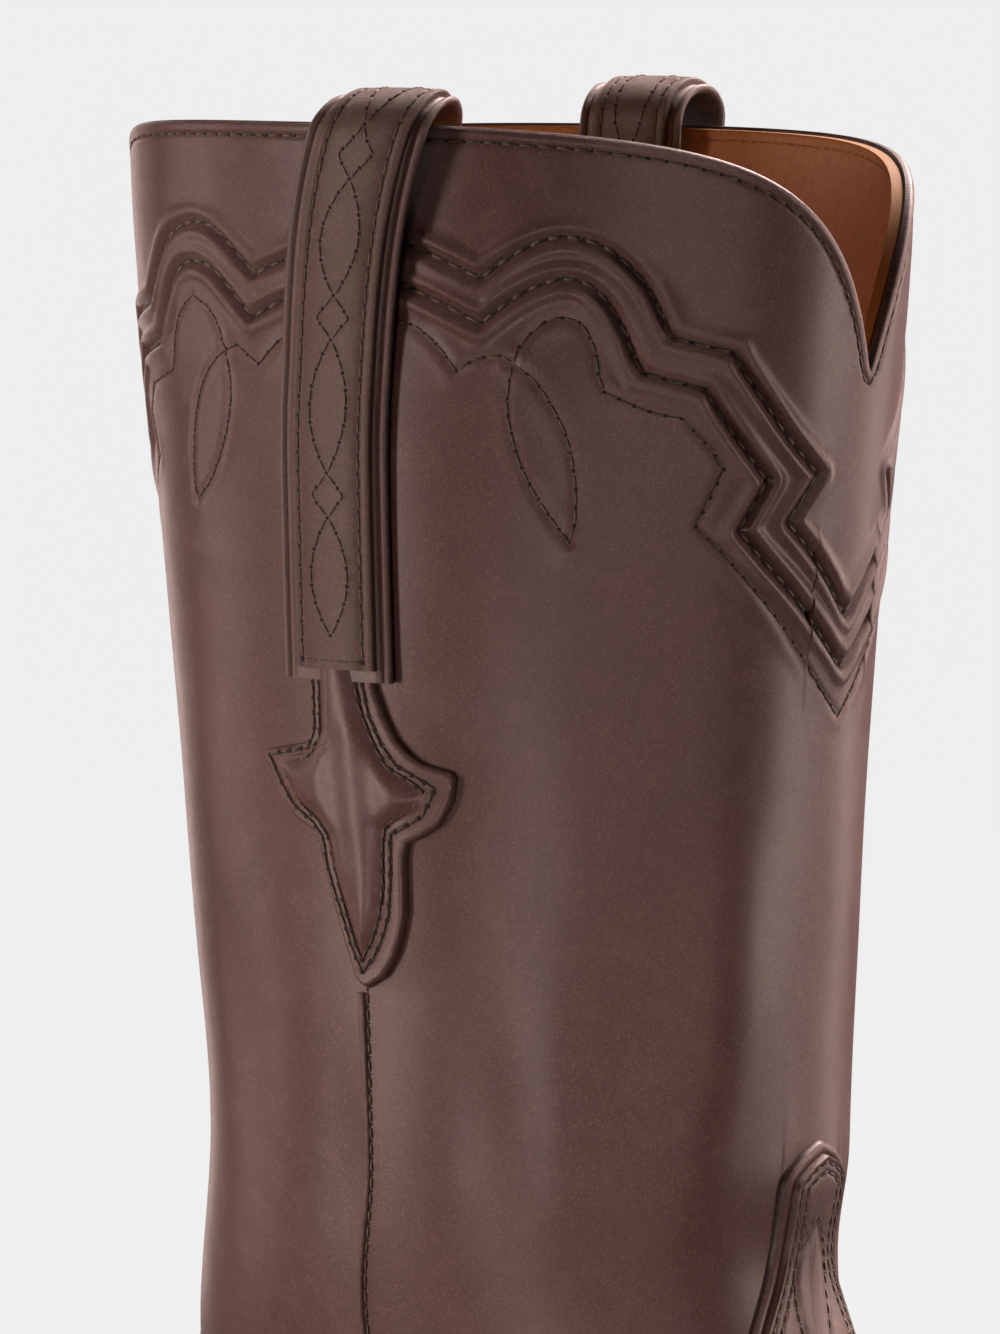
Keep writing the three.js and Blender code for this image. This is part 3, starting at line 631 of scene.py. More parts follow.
def softForm(along, height, front):  # the slack of soft leather over the leg
    wave = 0.28 * np.sin(along / 19 + height / 41 + 0.6) * np.sin(height / 27 + 1.1)
    wave += 0.16 * np.sin(along / 8.5 - height / 15 + 2.0) * np.sin(height / 19 - along / 30)
    if front:
        wave += -0.9 * bell((along - 38) / 9 + (height - 196) / 60) * bell((height - 192) / 26)
        wave += 0.7 * bell((along - 22) / 8) * bell((height - 205) / 30)
        wave += -0.7 * bell((along - 62) / 7 - (height - 178) / 50) * bell((height - 176) / 22)
        wave += -0.5 * bell((along - 16) / 7 + (height - 172) / 28) * bell((height - 172) / 18)
    else:
        wave += -1.1 * bell((along - 52) / 11 + (height - 190) / 45) * bell((height - 188) / 24)
        wave += -0.8 * bell((along - 74) / 8) * bell((height - 172) / 18)
        wave += 0.6 * bell((along - 40) / 12) * bell((height - 232) / 30)
    return wave * ramp((330 - height) / 30) * ramp((height - 100) / 30)


# leather sheets on the form


def metric(edge):
    degrees, level = edge[:, 0], edge[:, 1]
    perDegree = np.linalg.norm(face(level, degrees + 0.5) - face(level, degrees - 0.5), axis=1)
    perLevel = np.linalg.norm(face(level + 0.5, degrees) - face(level - 0.5, degrees), axis=1)
    return np.stack([perDegree, perLevel], 1)


def inset(edge, distance, blur=3):  # the edge moved down into the sheet, square to itself
    scale = metric(edge)
    along = unit(np.gradient(edge, axis=0) * scale)
    if blur:
        kernel = np.ones(2 * blur + 1) / (2 * blur + 1)
        padded = np.pad(along, ((blur, blur), (0, 0)), mode="edge")
        along = unit(np.stack([np.convolve(padded[:, k], kernel, "valid") for k in range(2)], 1))
    down = np.stack([along[:, 1], -along[:, 0]], 1)
    return edge + down * distance / scale


def evenEdge(degrees, levels, count):  # the same edge with its points evenly spaced in mm
    edge = np.stack([degrees, levels], 1)
    points = face(levels, degrees)
    length = runningLength(points)
    at = np.linspace(0, length[-1], count)
    return np.stack([np.interp(at, length, edge[:, k]) for k in range(2)], 1)


def sheet(bottom, top, insets, bodyRows, outer, inner, edgeRound, relief=None, innerRows=14, foot=None):
    # rows of (degrees, level): up the outer face, over the rounded edge, down the inner face
    deepest = inset(top, insets[0])
    shares = np.linspace(0, 1, bodyRows, endpoint=False) if np.isscalar(bodyRows) else np.asarray(bodyRows)
    rows = [bottom + (deepest - bottom) * share for share in shares]
    depth = [np.full(len(top), 99.0)] * len(shares)
    offsets = [np.full(len(top), float(outer))] * len(shares)
    for distance in insets:
        rows.append(inset(top, distance))
        depth.append(np.full(len(top), distance))
        offsets.append(np.full(len(top), float(outer)))
    turn = np.radians([25, 50, 70, 90])
    for angle in turn:  # quarter round from the outer face to the cut edge
        distance = edgeRound * (1 - math.sin(angle))
        rows.append(inset(top, distance))
        depth.append(np.full(len(top), distance))
        offsets.append(np.full(len(top), outer - edgeRound * (1 - math.cos(angle))))
    level = np.array(rows)
    depth, offsets = np.array(depth), np.array(offsets)
    # the relief's second value is the depth of the sewn grooves, which sets their painted shade
    lift, grooveShadeDepth = relief(level[..., 1], level[..., 0], depth)
    lift = np.where(depth < edgeRound, lift * (depth / edgeRound), lift)
    outerCount = len(rows)
    towards = 1 if inner < outer else -1
    back = [inset(top, 0.0), inset(top, edgeRound * 0.5)]
    backOffsets = [inner + towards * edgeRound * 0.4, inner]
    for share in np.linspace(1, 0, innerRows):
        back.append(bottom + (deepest - bottom) * share)
        backOffsets.append(inner)
    allRows = np.concatenate([level, np.array(back)])
    allOffsets = np.concatenate([offsets + lift, np.repeat(np.array(backOffsets)[:, None], len(top), 1)])
    if foot is not None:
        allOffsets = allOffsets + foot(allRows[..., 1])
    points = onForm(allRows[..., 1], allRows[..., 0], allOffsets)
    # painted shade: the deeper a sewn groove, the darker its colour
    creaseAndGrooveShade = np.zeros(allOffsets.shape)
    creaseAndGrooveShade[:outerCount] = np.clip(-grooveShadeDepth / 0.75, 0, 1) ** 1.3
    return points, creaseAndGrooveShade, outerCount


rim = dict(height=340.5, front=38.5, back=26, frontSpread=15.5, backSpread=13.5, outerLift=2.6)


def rimLine(degrees):
    folded = np.abs((np.asarray(degrees, float) + 180) % 360 - 180)
    turn = (np.asarray(degrees, float) + 180) % 360 - 180
    outward = rim["outerLift"] * ramp((turn - 4) / 30) * ramp((178 - turn) / 85)  # the outer side is higher
    return (rim["height"] - rim["front"] * np.exp(-(180 - folded) / rim["frontSpread"])
            - rim["back"] * np.exp(-folded / rim["backSpread"]) + outward)


def polyLine(points, place):
    return np.interp(place, [p[0] for p in points], [p[1] for p in points])


vampEdge = [(0, 173.4), (6, 171.5), (10.6, 168.6), (11.7, 166.5), (11.4, 161.5), (11.2, 156.3), (12, 152.4),
            (13.6, 149), (16.5, 145), (21, 139), (29, 129), (44, 115), (68, 99), (92, 80)]
counterEdge = [(0, 150), (5, 149.2), (9.8, 146.5), (11, 144), (11.2, 140), (12.5, 136), (16, 127), (26, 114),
               (44, 99), (88, 80)]


def edgeLevels(side, count, front):  # a cover's upper edge, from the outer seam round to the inner one
    points = np.array(side, float)
    degrees = (180 - points[::-1, 0]) if front else points[::-1, 0]
    mirror = (180 + points[1:, 0]) if front else -points[1:, 0]
    degrees = np.concatenate([degrees, mirror])
    height = np.concatenate([points[::-1, 1], points[1:, 1]])
    path = resample(np.stack([degrees, height], 1), step=0.4)
    soft = np.pad(path, ((4, 4), (0, 0)), mode="edge")
    path[3:-3] = np.stack([np.convolve(soft[:, k], np.ones(9) / 9, "valid") for k in range(2)], 1)[3:-3]
    if not front:
        path = path[::-1]
    limit = panelSpan(front, seamGap)
    path = path[(path[:, 0] >= limit[0]) & (path[:, 0] <= limit[1])]
    if len(path) > 1 and path[0, 0] > path[-1, 0]:
        path = path[::-1]
    path[0, 0], path[-1, 0] = limit
    return evenEdge(path[:, 0], levelAt(path[:, 1], path[:, 0]), count)


def panelSpan(front, gap):  # degrees from one side seam to the other, a little short of both
    return (outerSeam + gap, innerSeam - gap) if front else (innerSeam - 360 + gap, outerSeam - gap)


def evenBottom(top, level):
    share = np.linspace(0, 1, len(top))
    degrees = top[0, 0] + (top[-1, 0] - top[0, 0]) * share
    levels = np.broadcast_to(level, degrees.shape) if np.isscalar(level) else level(degrees)
    return np.stack([degrees, levels], 1)


legPanel = dict(columns=270, thick=1.7, edgeRound=0.75)
rimInsets = [4.4, 3.9, 3.4, 3.0, 2.7, 2.45, 2.2, 1.95, 1.65, 1.3, 1.0]


def rimGroove(depth):
    return -0.28 * bell((depth - rowShape["rimRow"]) / 0.5) + 0.1 * bell((depth - 0.9) / 0.9)


def legSheet(name, front):
    rows = smoothRows(frontRows if front else backRows)
    limit = panelSpan(front, seamGap)
    degrees = np.linspace(*limit, 1500)
    top = evenEdge(degrees, rimLine(degrees), legPanel["columns"])
    hem = sorted(vampEdge if front else counterEdge)

    def foot(angle):
        away = np.abs(180 - angle) if front else np.abs(angle)
        return levelAt(polyLine(hem, away) - 12, angle)

    bottom = evenBottom(top, foot)
    coarse = np.linspace(0, 0.56, 62, endpoint=False)
    shares = np.concatenate([coarse, np.linspace(0.56, 1, 168, endpoint=False)])

    def relief(level, angle, depth):
        along = alongLeg(level, angle, front)
        sewn = patternRelief(along, level, rows) + rimGroove(depth)
        return sewn + softForm(along, level, front), sewn

    points, creaseAndGrooveShade, outerCount = sheet(bottom, top, rimInsets, shares, 0.0, -legPanel["thick"],
                                       legPanel["edgeRound"], relief)
    faces = loopSolid(points)
    paint = np.zeros(len(faces), int)
    columns = points.shape[1] - 1
    paint[(outerCount - 3) * columns:(outerCount + 1) * columns] = 1
    piece(name, points, faces, [legCalf, paintedEdge], replaces=[name], creaseAndGrooveShade=creaseAndGrooveShade, paint=paint)
    sewing = Sewing("leg_front_sewing" if front else "leg_back_sewing")
    seam = 96 if front else 91.2
    for kind, pitch, thick, hole in (("heavy", 3.25, 0.72, 1.1), ("thin", 2.95, 0.38, 1.0)):
        for row in rows[kind]:
            for run in row:
                run = run[run[:, 0] <= seam]
                for side in (1, -1):
                    level, angle = placeAt(run[:, 0] * side, run[:, 1], front)
                    along = alongLeg(level, angle, front)
                    depth = patternRelief(along, level, rows) + softForm(along, level, front)
                    sewing.row(onForm(level, angle, depth), normalAt(level, angle), pitch, thick, hole,
                               lift=0.12 if kind == "heavy" else 0.05)
    edge = inset(evenEdge(degrees, rimLine(degrees), 900), rowShape["rimRow"], blur=6)
    edge = edge[(edge[:, 0] > limit[0] + 0.6) & (edge[:, 0] < limit[1] - 0.6)]
    along = alongLeg(edge[:, 1], edge[:, 0], front)
    depth = softForm(along, edge[:, 1], front) - 0.24
    sewing.row(onForm(edge[:, 1], edge[:, 0], depth), normalAt(edge[:, 1], edge[:, 0]), 3.1, 0.48, 0.95)
    return sewing


sewingFront = legSheet("shaft_front", True)
sewingBack = legSheet("shaft_back", False)
print("leg panels made")

# lining

lining = dict(outer=-1.78, inner=-3.3, edgeRound=0.4, columns=150)


def liningPiece(name, front):
    limit = panelSpan(front, seamGap)
    degrees = np.linspace(*limit, 1500)
    top = evenEdge(degrees, rimLine(degrees) - 0.55, lining["columns"])
    bottom = evenBottom(top, 150.0 if front else heelSeat + 1.6)

    def relief(level, angle, depth):
        sewn = 0.18 * bell((depth - 2.3) / 0.45)
        return sewn - 0.12 * np.sin(angle / 9 + level / 37) * ramp((335 - level) / 30), sewn * 0

    points, _, outerCount = sheet(bottom, top, rimInsets, 70, lining["inner"], lining["outer"],
                                  lining["edgeRound"], relief, innerRows=8)
    faces = loopSolid(points)
    paint = np.zeros(len(faces), int)
    columns = points.shape[1] - 1
    paint[(outerCount - 4) * columns:(outerCount + 1) * columns] = 1
    piece(name, points, faces, [tanLining, liningEdge], replaces=[name], paint=paint)
    sewing = Sewing("lining_front_sewing" if front else "lining_back_sewing", thread=tanThread)
    degrees = np.linspace(*panelSpan(front, 1), 1200)
    edge = inset(evenEdge(degrees, rimLine(degrees), 900), rowShape["rimRow"], blur=6)
    sewing.row(onForm(edge[:, 1], edge[:, 0], lining["inner"] + 0.14), -normalAt(edge[:, 1], edge[:, 0]),
               2.3, 0.42, 0.45)
    sewing.finish()


liningPiece("lining_front", True)
liningPiece("lining_back", False)
print("lining made")

# covers of the foot

cover = dict(under=0.05, step=1.0, top=1.9, stepWidth=2.0, rows=(3.4, 5.0), columns=420)
coverInsets = [9.0, 8.0, 7.0, 6.4, 6.0, 5.6, 5.3, 5.0, 4.7, 4.4, 4.0, 3.7, 3.4, 3.1, 2.8, 2.5, 2.3, 2.15, 2.0,
               1.8, 1.5, 1.1, 0.8]


def coverProfile(depth):  # a lower border strip, then the edge of the top layer, then two sewn rows
    height = cover["step"] + (cover["top"] - cover["step"]) * ramp((depth - 2.05) / 0.45)
    height = height - 0.45 * bell((depth - cover["stepWidth"]) / 0.16) + 0.12 * bell((depth - 2.7) / 0.4)
    return height - sum(0.22 * bell((depth - row) / 0.4) for row in cover["rows"])


tongueLeaf = [(0.8, 160), (3.2, 156), (4.8, 151.5), (5.4, 147), (5, 142), (3.8, 136.5), (2, 132), (0.8, 129)]


def coverSheet(name, front, bodyRows):
    top = edgeLevels(vampEdge if front else counterEdge, cover["columns"], front)
    bottom = evenBottom(top, heelSeat + 0.15)

    def relief(level, angle, depth):
        lift = coverProfile(depth)
        if front:
            along = alongLeg(level, angle, True)
            height = face(level, angle)[..., 2]
            near = (height > 120) & (np.abs(along) < 12)
            d = np.full(level.shape, 99.0)
            path = curveThrough(tongueLeaf, 1.0)
            d[near] = distanceTo(np.abs(along[near] - 0.8) + 0.8, height[near], path)
            inside = near & (np.abs(along - 0.8) + 0.8 < np.interp(height, [p[1] for p in tongueLeaf[::-1]],
                                                                   [p[0] for p in tongueLeaf[::-1]]))
            lift = lift - 0.22 * bell(d / 0.45) + np.where(inside, 0.55 * (1 - bell(d / 1.6)), 0)
        # painted shade along the two sewn rows and the border step, returned as the second value
        sewn = sum(bell((depth - row) / 0.4) for row in cover["rows"])
        sewn = sewn + 1.2 * bell((depth - cover["stepWidth"]) / 0.2)
        return lift, -0.35 * sewn

    def foot(level):  # the lower edge is drawn in under the feather line
        return -1.6 * (1 - ramp((level - heelSeat) / 3.2))

    points, creaseAndGrooveShade, outerCount = sheet(bottom, top, coverInsets, bodyRows, 0.0, cover["under"], 0.45, relief,
                                       innerRows=24, foot=foot)
    columns = points.shape[1]
    faces = loopSolid(points)
    paint = np.zeros(len(faces), int)
    paint[(outerCount - 4) * (columns - 1):(outerCount + 1) * (columns - 1)] = 1
    piece(name, points, faces, [legCalf, paintedEdge], replaces=[name], creaseAndGrooveShade=creaseAndGrooveShade, paint=paint)
    sewing = Sewing("vamp_sewing" if front else "counter_sewing")
    fine = edgeLevels(vampEdge if front else counterEdge, 1200, front)
    for row in cover["rows"]:
        edge = inset(fine, row, blur=8)
        sewing.row(onForm(edge[:, 1], edge[:, 0], cover["top"] - 0.2), normalAt(edge[:, 1], edge[:, 0]),
                   2.5, 0.5, 0.58)
    if front:
        path = curveThrough(tongueLeaf)
        for side in (1, -1):
            level, angle = placeAt((path[:, 0] - 0.8) * side + 0.8, path[:, 1], True)
            sewing.row(onForm(level, angle, cover["top"] - 0.18), normalAt(level, angle), 2.5, 0.5, 0.6)
    sewing.finish()


coverSheet("vamp", True, 110)
coverSheet("heel_counter_cover", False, 60)
print("foot covers made")

# side seams

seamStrip = dict(top=198.8, coverTop=86, foot=47.5, width=1.5, height=0.75, pitch=2.8, stations=110,
                 asideFrom=82, asideOver=10, sewnAside=0.15, sewnStations=300, degreesPerMm=0.955)


def sideSeam(name, seam, heelward):  # on the seam below the covers, beside it above them
    heights = np.linspace(seamStrip["foot"], seamStrip["top"], seamStrip["stations"])
    onCovers = cover["top"] * ramp((seamStrip["coverTop"] - heights) / 4)
    turn = np.linspace(0, math.pi, 9)
    across = -np.cos(turn) * seamStrip["width"] / 2
    rise = np.concatenate([0.05 + seamStrip["height"] * np.sin(turn) ** 0.6, [-0.1]])
    across = np.append(across, 0)
    aside = heelward * ramp((heights - seamStrip["asideFrom"]) / seamStrip["asideOver"])
    degrees = seam + aside + across[:, None] * seamStrip["degreesPerMm"]
    level = levelAt(np.broadcast_to(heights, degrees.shape), degrees)
    along = alongLeg(level, degrees, False)
    points = onForm(level, degrees, rise[:, None] + onCovers + softForm(along, level, False))
    piece(name, points, loopSolid(points), legCalf, replaces=[name])
    sewing = Sewing(name + "_sewing")
    heights = np.linspace(seamStrip["coverTop"], seamStrip["top"] + 0.5, seamStrip["sewnStations"])
    angle = np.full(heights.shape, seam - heelward * seamStrip["sewnAside"])
    level = levelAt(heights, angle)
    along = alongLeg(level, angle, True)
    sewing.row(onForm(level, angle, softForm(along, level, True) + 0.05), normalAt(level, angle),
               seamStrip["pitch"], 0.48, 0.6)
    sewing.finish()


sideSeam("side_welt_lateral", outerSeam, -1)
sideSeam("side_welt_medial", innerSeam, 1)

# tails below the straps, as (distance forward of the seam, height)

tail = dict(thick=1.5, pad=1.15, edgeRound=0.7, strapEnd=250.6)
tailRear = [(-8.7, 254), (-8.8, 241), (-10.5, 240), (-18.6, 238.6), (-19.8, 237.4), (-18.2, 234.2),
            (-16.6, 230.6), (-12.6, 227), (-8.4, 225), (-7.4, 221.6), (-6, 216), (-4.2, 209.7), (-2.4, 204.5),
            (-1.2, 201), (0.8, 199.6)]
tailFront = [(4.2, 254), (4.8, 250), (6.6, 245.2), (8.5, 241.8), (11.3, 239), (13.7, 237.8), (18.6, 236.7),
             (19.2, 235.6), (18.4, 231.6), (15.8, 227.6), (12.6, 225.6), (10.1, 224.6), (9.4, 222.5),
             (9.1, 213), (8.1, 208.9), (6.7, 205.2), (4.4, 201.8), (0.8, 199.6)]
rowRear = [(-7.4, 254), (-7.4, 242.4), (-9, 239.4), (-18, 237.6), (-15.4, 233.2), (-12.8, 229.6),
           (-8.4, 226.8), (-6.5, 224.6), (-5.8, 219.9), (-4.5, 215.8), (-2.9, 211.2), (-1.6, 207), (0.5, 202.6)]
rowFront = [(1.9, 254), (3.6, 245.5), (5.7, 241), (8.4, 237.4), (11.4, 236), (15.5, 233.9), (13.2, 229.4),
            (10.2, 227.7), (6.9, 225.9), (6.8, 223), (6.6, 217.8), (6, 212.4), (4.6, 208.4), (2.7, 205),
            (0.5, 202.6)]
innerRear = [(-6, 254), (-6.3, 241.2), (-8.8, 237.9), (-14.6, 235.6), (-12, 231.4), (-9.8, 229), (-6.9, 227),
             (-4.9, 223.9), (-4.3, 220), (-3, 214.8), (-1.6, 210.3), (-0.4, 206.6), (0.6, 204.6)]
innerFront = [(0.6, 254), (2, 246.8), (4.1, 241.6), (6.6, 237.2), (11.2, 234.9), (13.4, 233.4), (11.6, 230.8),
              (8.6, 229), (6, 227), (5.4, 223), (5.2, 217), (4.2, 212), (2.9, 208.4), (0.6, 204.6)]


def turnFor(height, along):  # degrees round the leg for a distance, on half the section's depth as radius
    values = sectionAt(height)
    return along / ((values[..., 1] - values[..., 0]) / 2) * perRadian


def outlineRows(rear, front, count):
    bends = np.array([p[1] for p in rear + front])
    heights = np.unique(np.concatenate([np.linspace(bends.min(), bends.max(), count), bends]))
    low, high = (polyLine(sorted((h, s) for s, h in edge), heights) for edge in (rear, front))
    return heights, low, high


def tailPatch(name, seam, mirror, rear, front, base, rise):
    heights, low, high = outlineRows(rear, front, 90)
    edge = np.array([0, 0.012, 0.03, 0.055, 0.09])
    shares = np.concatenate([edge, np.linspace(0.13, 0.87, 30), 1 - edge[::-1]])
    along = low[:, None] + (high - low)[:, None] * shares
    height = np.repeat(heights[:, None], len(shares), 1)
    outline = np.concatenate([np.array(rear, float), np.array(front, float)[::-1]])
    depth = distanceTo(along, height, outline)
    lift = base + rise(depth, along, height)
    signed = -along if mirror else along
    degrees = seam + turnFor(height, signed)
    top = onForm(height, degrees, lift)
    under = onForm(height, degrees, np.full(height.shape, base))
    rowCount, columnCount = top.shape[:2]
    size = rowCount * columnCount
    faces = gridFaces(rowCount, columnCount)
    faces = faces + [[size + k for k in reversed(one)] for one in gridFaces(rowCount, columnCount)]
    ring = ([(0, c) for c in range(columnCount)] + [(r, columnCount - 1) for r in range(1, rowCount)]
            + [(rowCount - 1, c) for c in range(columnCount - 2, -1, -1)]
            + [(r, 0) for r in range(rowCount - 2, 0, -1)])
    ring = [r * columnCount + c for r, c in ring]
    faces += [[a, b, size + b, size + a] for a, b in zip(ring, ring[1:] + ring[:1])]
    piece(name, np.concatenate([top.reshape(-1, 3), under.reshape(-1, 3)]), faces, legCalf, replaces=[name],
          creaseAndGrooveShade=np.zeros(2 * size), weld=True, sharp=60)


def rounded(depth, size):
    return np.sqrt(np.clip(1 - (1 - np.clip(depth / size, 0, 1)) ** 2, 0, 1))


def strapTail(side, seam, mirror):
    def borderRise(depth, along, height):
        return tail["thick"] * rounded(depth, tail["edgeRound"]) + 0.1 * bell((depth - 0.9) / 0.5)

    def padRise(depth, along, height):
        foldAndGrooveShade = 0.15 * np.sin(along * 0.9 + 0.5 + np.sin(height / 9)) * ramp((depth - 2) / 3)
        pad = tail["pad"] * (1 - bell(np.maximum(depth - 1.6, 0) / 1.8)) + foldAndGrooveShade * ramp((248 - height) / 8)
        grooves = ((0.2, 0.55, 0.3), (0.26, 1.75, 0.35))
        seat = 0.3 * rounded(depth, 0.5)
        for deep, at, wide in grooves:
            seat = seat - deep * bell((depth - at) / wide)
        return seat + pad

    grown = [[(s - 0.55, h + (0.4 if h > 230 else -0.3)) for s, h in rowRear],
             [(s + 0.55, h + (0.4 if h > 234 else -0.3)) for s, h in rowFront]]
    tailPatch(f"tail_under_{side}", seam, mirror, tailRear, tailFront, 0.05, borderRise)
    tailPatch(f"tail_top_{side}", seam, mirror, *grown, tail["thick"] - 0.05, padRise)
    sewing = Sewing(f"tail_sewing_{side}")
    for path, lift in ((rowRear, 0.2), (rowFront, 0.2), (innerRear, 0.25), (innerFront, 0.25)):
        path = resample(path, step=0.3)
        path = path[path[:, 1] < tail["strapEnd"]]
        heights = path[:, 1]
        degrees = seam + turnFor(heights, path[:, 0] * (-1 if mirror else 1))
        sewing.row(onForm(heights, degrees, tail["thick"] + lift), normalAt(heights, degrees), 2.6, 0.46, 1.0)
    sewing.finish()


strapTail("lateral", outerSeam, False)
strapTail("medial", innerSeam, True)
print("seams and tails made")

# pull straps

strap = dict(centre=85.6, swing=(6.4, 2.1), swingFrom=285, swingOver=50, width=22, thick=1.4,
             facing=16, facingShift=0.4, facingThick=1.25, gap=0.45, foot=251,
             insideFoot=286, facingInsideFoot=296, lean=300, arch=341, halfSpan=5.6, archRise=5)
liningInner = -3.6  # inner face of the lining in the frame, which the straps clear


def strapPath(foot, insideFoot, step=1.6):
    middle = liningInner / 2

    def leg(heights, rest, top):
        leaning = ramp((heights - strap["lean"]) / (strap["arch"] - strap["lean"]))
        return np.stack([heights, rest + (top - rest) * leaning], 1)

    angle = np.radians(np.linspace(0, 180, 31))
    up = np.arange(foot, strap["arch"], step)
    down = np.arange(strap["arch"], insideFoot, -step)[1:]
    arch = np.stack([strap["arch"] + strap["archRise"] * np.sin(angle),
                     middle + strap["halfSpan"] * np.cos(angle)], 1)
    return np.concatenate([leg(up, strap["gap"], middle + strap["halfSpan"]), arch,
                           leg(down, liningInner - strap["gap"], middle - strap["halfSpan"])])


def strapAngle(height, mirror):  # the loops lean forward towards the top
    swing = strap["swing"][1 if mirror else 0]
    angle = strap["centre"] + swing * (np.maximum(0, height - strap["swingFrom"]) / strap["swingOver"]) ** 2
    return 360 - angle if mirror else angle


def acrossStrap(height, side, mirror):
    return strapAngle(height, mirror) + turnFor(height, side)


def strapSurface(mirror, path, side, rise):  # side and rise broadcast against the path
    step = unit(np.gradient(path, axis=0))
    height = path[:, 0] - rise * step[:, 1]
    offset = path[:, 1] + rise * step[:, 0]
    return onForm(height, acrossStrap(height, side, mirror), offset)


def bandProfile():  # beaded edges, a groove inside each bead, flat between
    half = strap["width"] / 2
    bead = [(half - 0.75 + 0.75 * math.sin(a), 0.8 + 0.75 * math.cos(a))
            for a in np.radians([150, 120, 90, 60, 30, 0, -35, -65])]
    groove = [(half - 1.6, 0.85), (half - 1.8, 1.15), (half - 2.2, 1.38), (half - 3, 1.48), (half - 3.6, 1.4)]
    right = [(half - 0.7, 0.0)] + bead + groove
    left = [(-s, h) for s, h in reversed(right)]
    return np.array(right + [(3, 1.45), (0, 1.45), (-3, 1.45)] + left)


def facingProfile():
    half, low, thick = strap["facing"] / 2, strap["thick"] + 0.02, strap["facingThick"]
    corner = [(half - 0.5 + 0.5 * math.sin(a), low + thick - 0.5 + 0.5 * math.cos(a))
              for a in np.radians([90, 60, 30, 0])]
    row = [(half - 1.2, low + thick + 0.06), (half - 1.65, low + thick - 0.05), (half - 2, low + thick - 0.2),
           (half - 2.35, low + thick - 0.05), (half - 3, low + thick + 0.1), (half - 5, low + thick + 0.16)]
    right = [(half, low)] + corner + row
    return np.array(right + [(0, low + thick + 0.18)] + [(-s, h) for s, h in reversed(right)])


chain = dict(start=4.2, leaf=3.6, diamond=3.2,
             steps=("leaf", 19.5, "diamond", 7.4, "leaf", 22.3, "diamond", 7.5, "leaf", 19.2, "diamond", 8.0,
                    "leaf", 21.0, "diamond", 7.5, "leaf", 19.5))


def decoration():  # chain of long leaves and small diamonds along the facing, as (side, distance along)
    lines, low = [], chain["start"]
    for shape, length in zip(chain["steps"][::2], chain["steps"][1::2]):
        t = np.linspace(0, 1, 30)
        bulge = np.sin(np.pi * t) ** 0.85 if shape == "leaf" else 1 - np.abs(2 * t - 1)
        lines += [np.stack([sign * bulge * chain[shape], low + length * t], 1) for sign in (1, -1)]
        low += length
    return lines


def pullStrap(side, mirror):
    body = f"strap_{side}"
    sign = -1 if mirror else 1
    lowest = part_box(f"strap_band_{side}")[0]
    x, y = lowest[0], lowest[1]
    blendEnds = dict(start=(x, y, 0.284), end=(x, y, 0.336))
    bandPath = strapPath(strap["foot"], strap["insideFoot"])
    facingPath = strapPath(strap["foot"] + 2, strap["facingInsideFoot"])
    sweeps = ((f"strap_band_{side}", bandProfile(), bandPath, 0.0, trimCalf),
              (f"strap_facing_{side}", facingProfile(), facingPath, strap["facingShift"], facingCalf))
    for name, profile, path, aside, material in sweeps:
        points = strapSurface(mirror, path, (profile[:, :1] + aside) * sign, profile[:, 1:])
        made = piece(name, points, loopSolid(points), material, None, replaces=[name], sharp=55)
        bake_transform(made)
    sewing = Sewing(f"strap_sewing_{side}", body, blend=blendEnds)
    path = resample(strapPath(strap["foot"] + 3.4, strap["facingInsideFoot"] + 2), step=0.4)
    facingTop = strap["thick"] + strap["facingThick"] - 0.12

    def sew(points, where, pitch):
        sewing.row(points, where, pitch, 0.4, 1.0)

    half = strap["facing"] / 2 - 2
    for edge in (half, -half):
        aside = (edge + strap["facingShift"]) * sign
        points = strapSurface(mirror, path, np.full(len(path), aside), np.full(len(path), facingTop))
        above = strapSurface(mirror, path, np.full(len(path), aside), np.full(len(path), facingTop + 1))
        sew(points, above - points, 3.1)
    travel = runningLength(path)
    tangent = unit(np.gradient(path, axis=0))
    for line in decoration():
        line = resample(line, step=0.4)
        spine, slope = (np.stack([np.interp(line[:, 1], travel, values[:, k]) for k in range(2)], 1)
                        for values in (path, tangent))
        aside = (line[:, 0] + strap["facingShift"]) * sign
        result = []
        for rise in (facingTop + 0.28, facingTop + 1.28):
            height, offset = spine[:, 0] - rise * slope[:, 1], spine[:, 1] + rise * slope[:, 0]
            result.append(onForm(height, acrossStrap(height, aside, mirror), offset))
        sew(result[0], result[1] - result[0], 3.0)
    across = np.linspace(-half, half, 40)
    foot = np.array([[strap["foot"] + 3.4, strap["gap"]]] * 40)
    degrees = acrossStrap(foot[:, 0], (across + strap["facingShift"]) * sign, mirror)
    ends = [onForm(foot[:, 0], degrees, foot[:, 1] + rise) for rise in (facingTop + 0.2, facingTop + 1.2)]
    sew(ends[0], ends[1] - ends[0], 2.8)
    sewing.finish()


pullStrap("lateral", False)
pullStrap("medial", True)
sewingFront.finish()
sewingBack.finish()
print("straps made")

# bottom: welt, rand, outsole

bottom = dict(gap=0.3, welt=3, sole=5, weltInner=-8, heelEdge=3.2, foreEdge=6.2, breastTurn=55, count=300)


def soleEdge(turn):
    away = 180 - np.abs((turn + 180) % 360 - 180)
    return bottom["heelEdge"] + (bottom["foreEdge"] - bottom["heelEdge"]) * ramp((180 - away - 45) / 40)


def solePoint(turn, distance, rise):
    here = sectionPoint(heelSeat, turn)
    step = sectionPoint(heelSeat, turn + 0.5) - sectionPoint(heelSeat, turn - 0.5)
    out = unit(np.stack([step[..., 1], -step[..., 0]], -1))
    xy = here[..., :2] + out * np.asarray(distance)[..., None]
    return np.concatenate([xy, (soleLine(xy[..., 0]) + rise)[..., None]], -1)


def evenTurns(start, end, count):
    turn = np.linspace(start, end, 3000)
    points = sectionPoint(heelSeat, turn)
    length = runningLength(points)
    return np.interp(np.linspace(0, length[-1], count), length, turn)


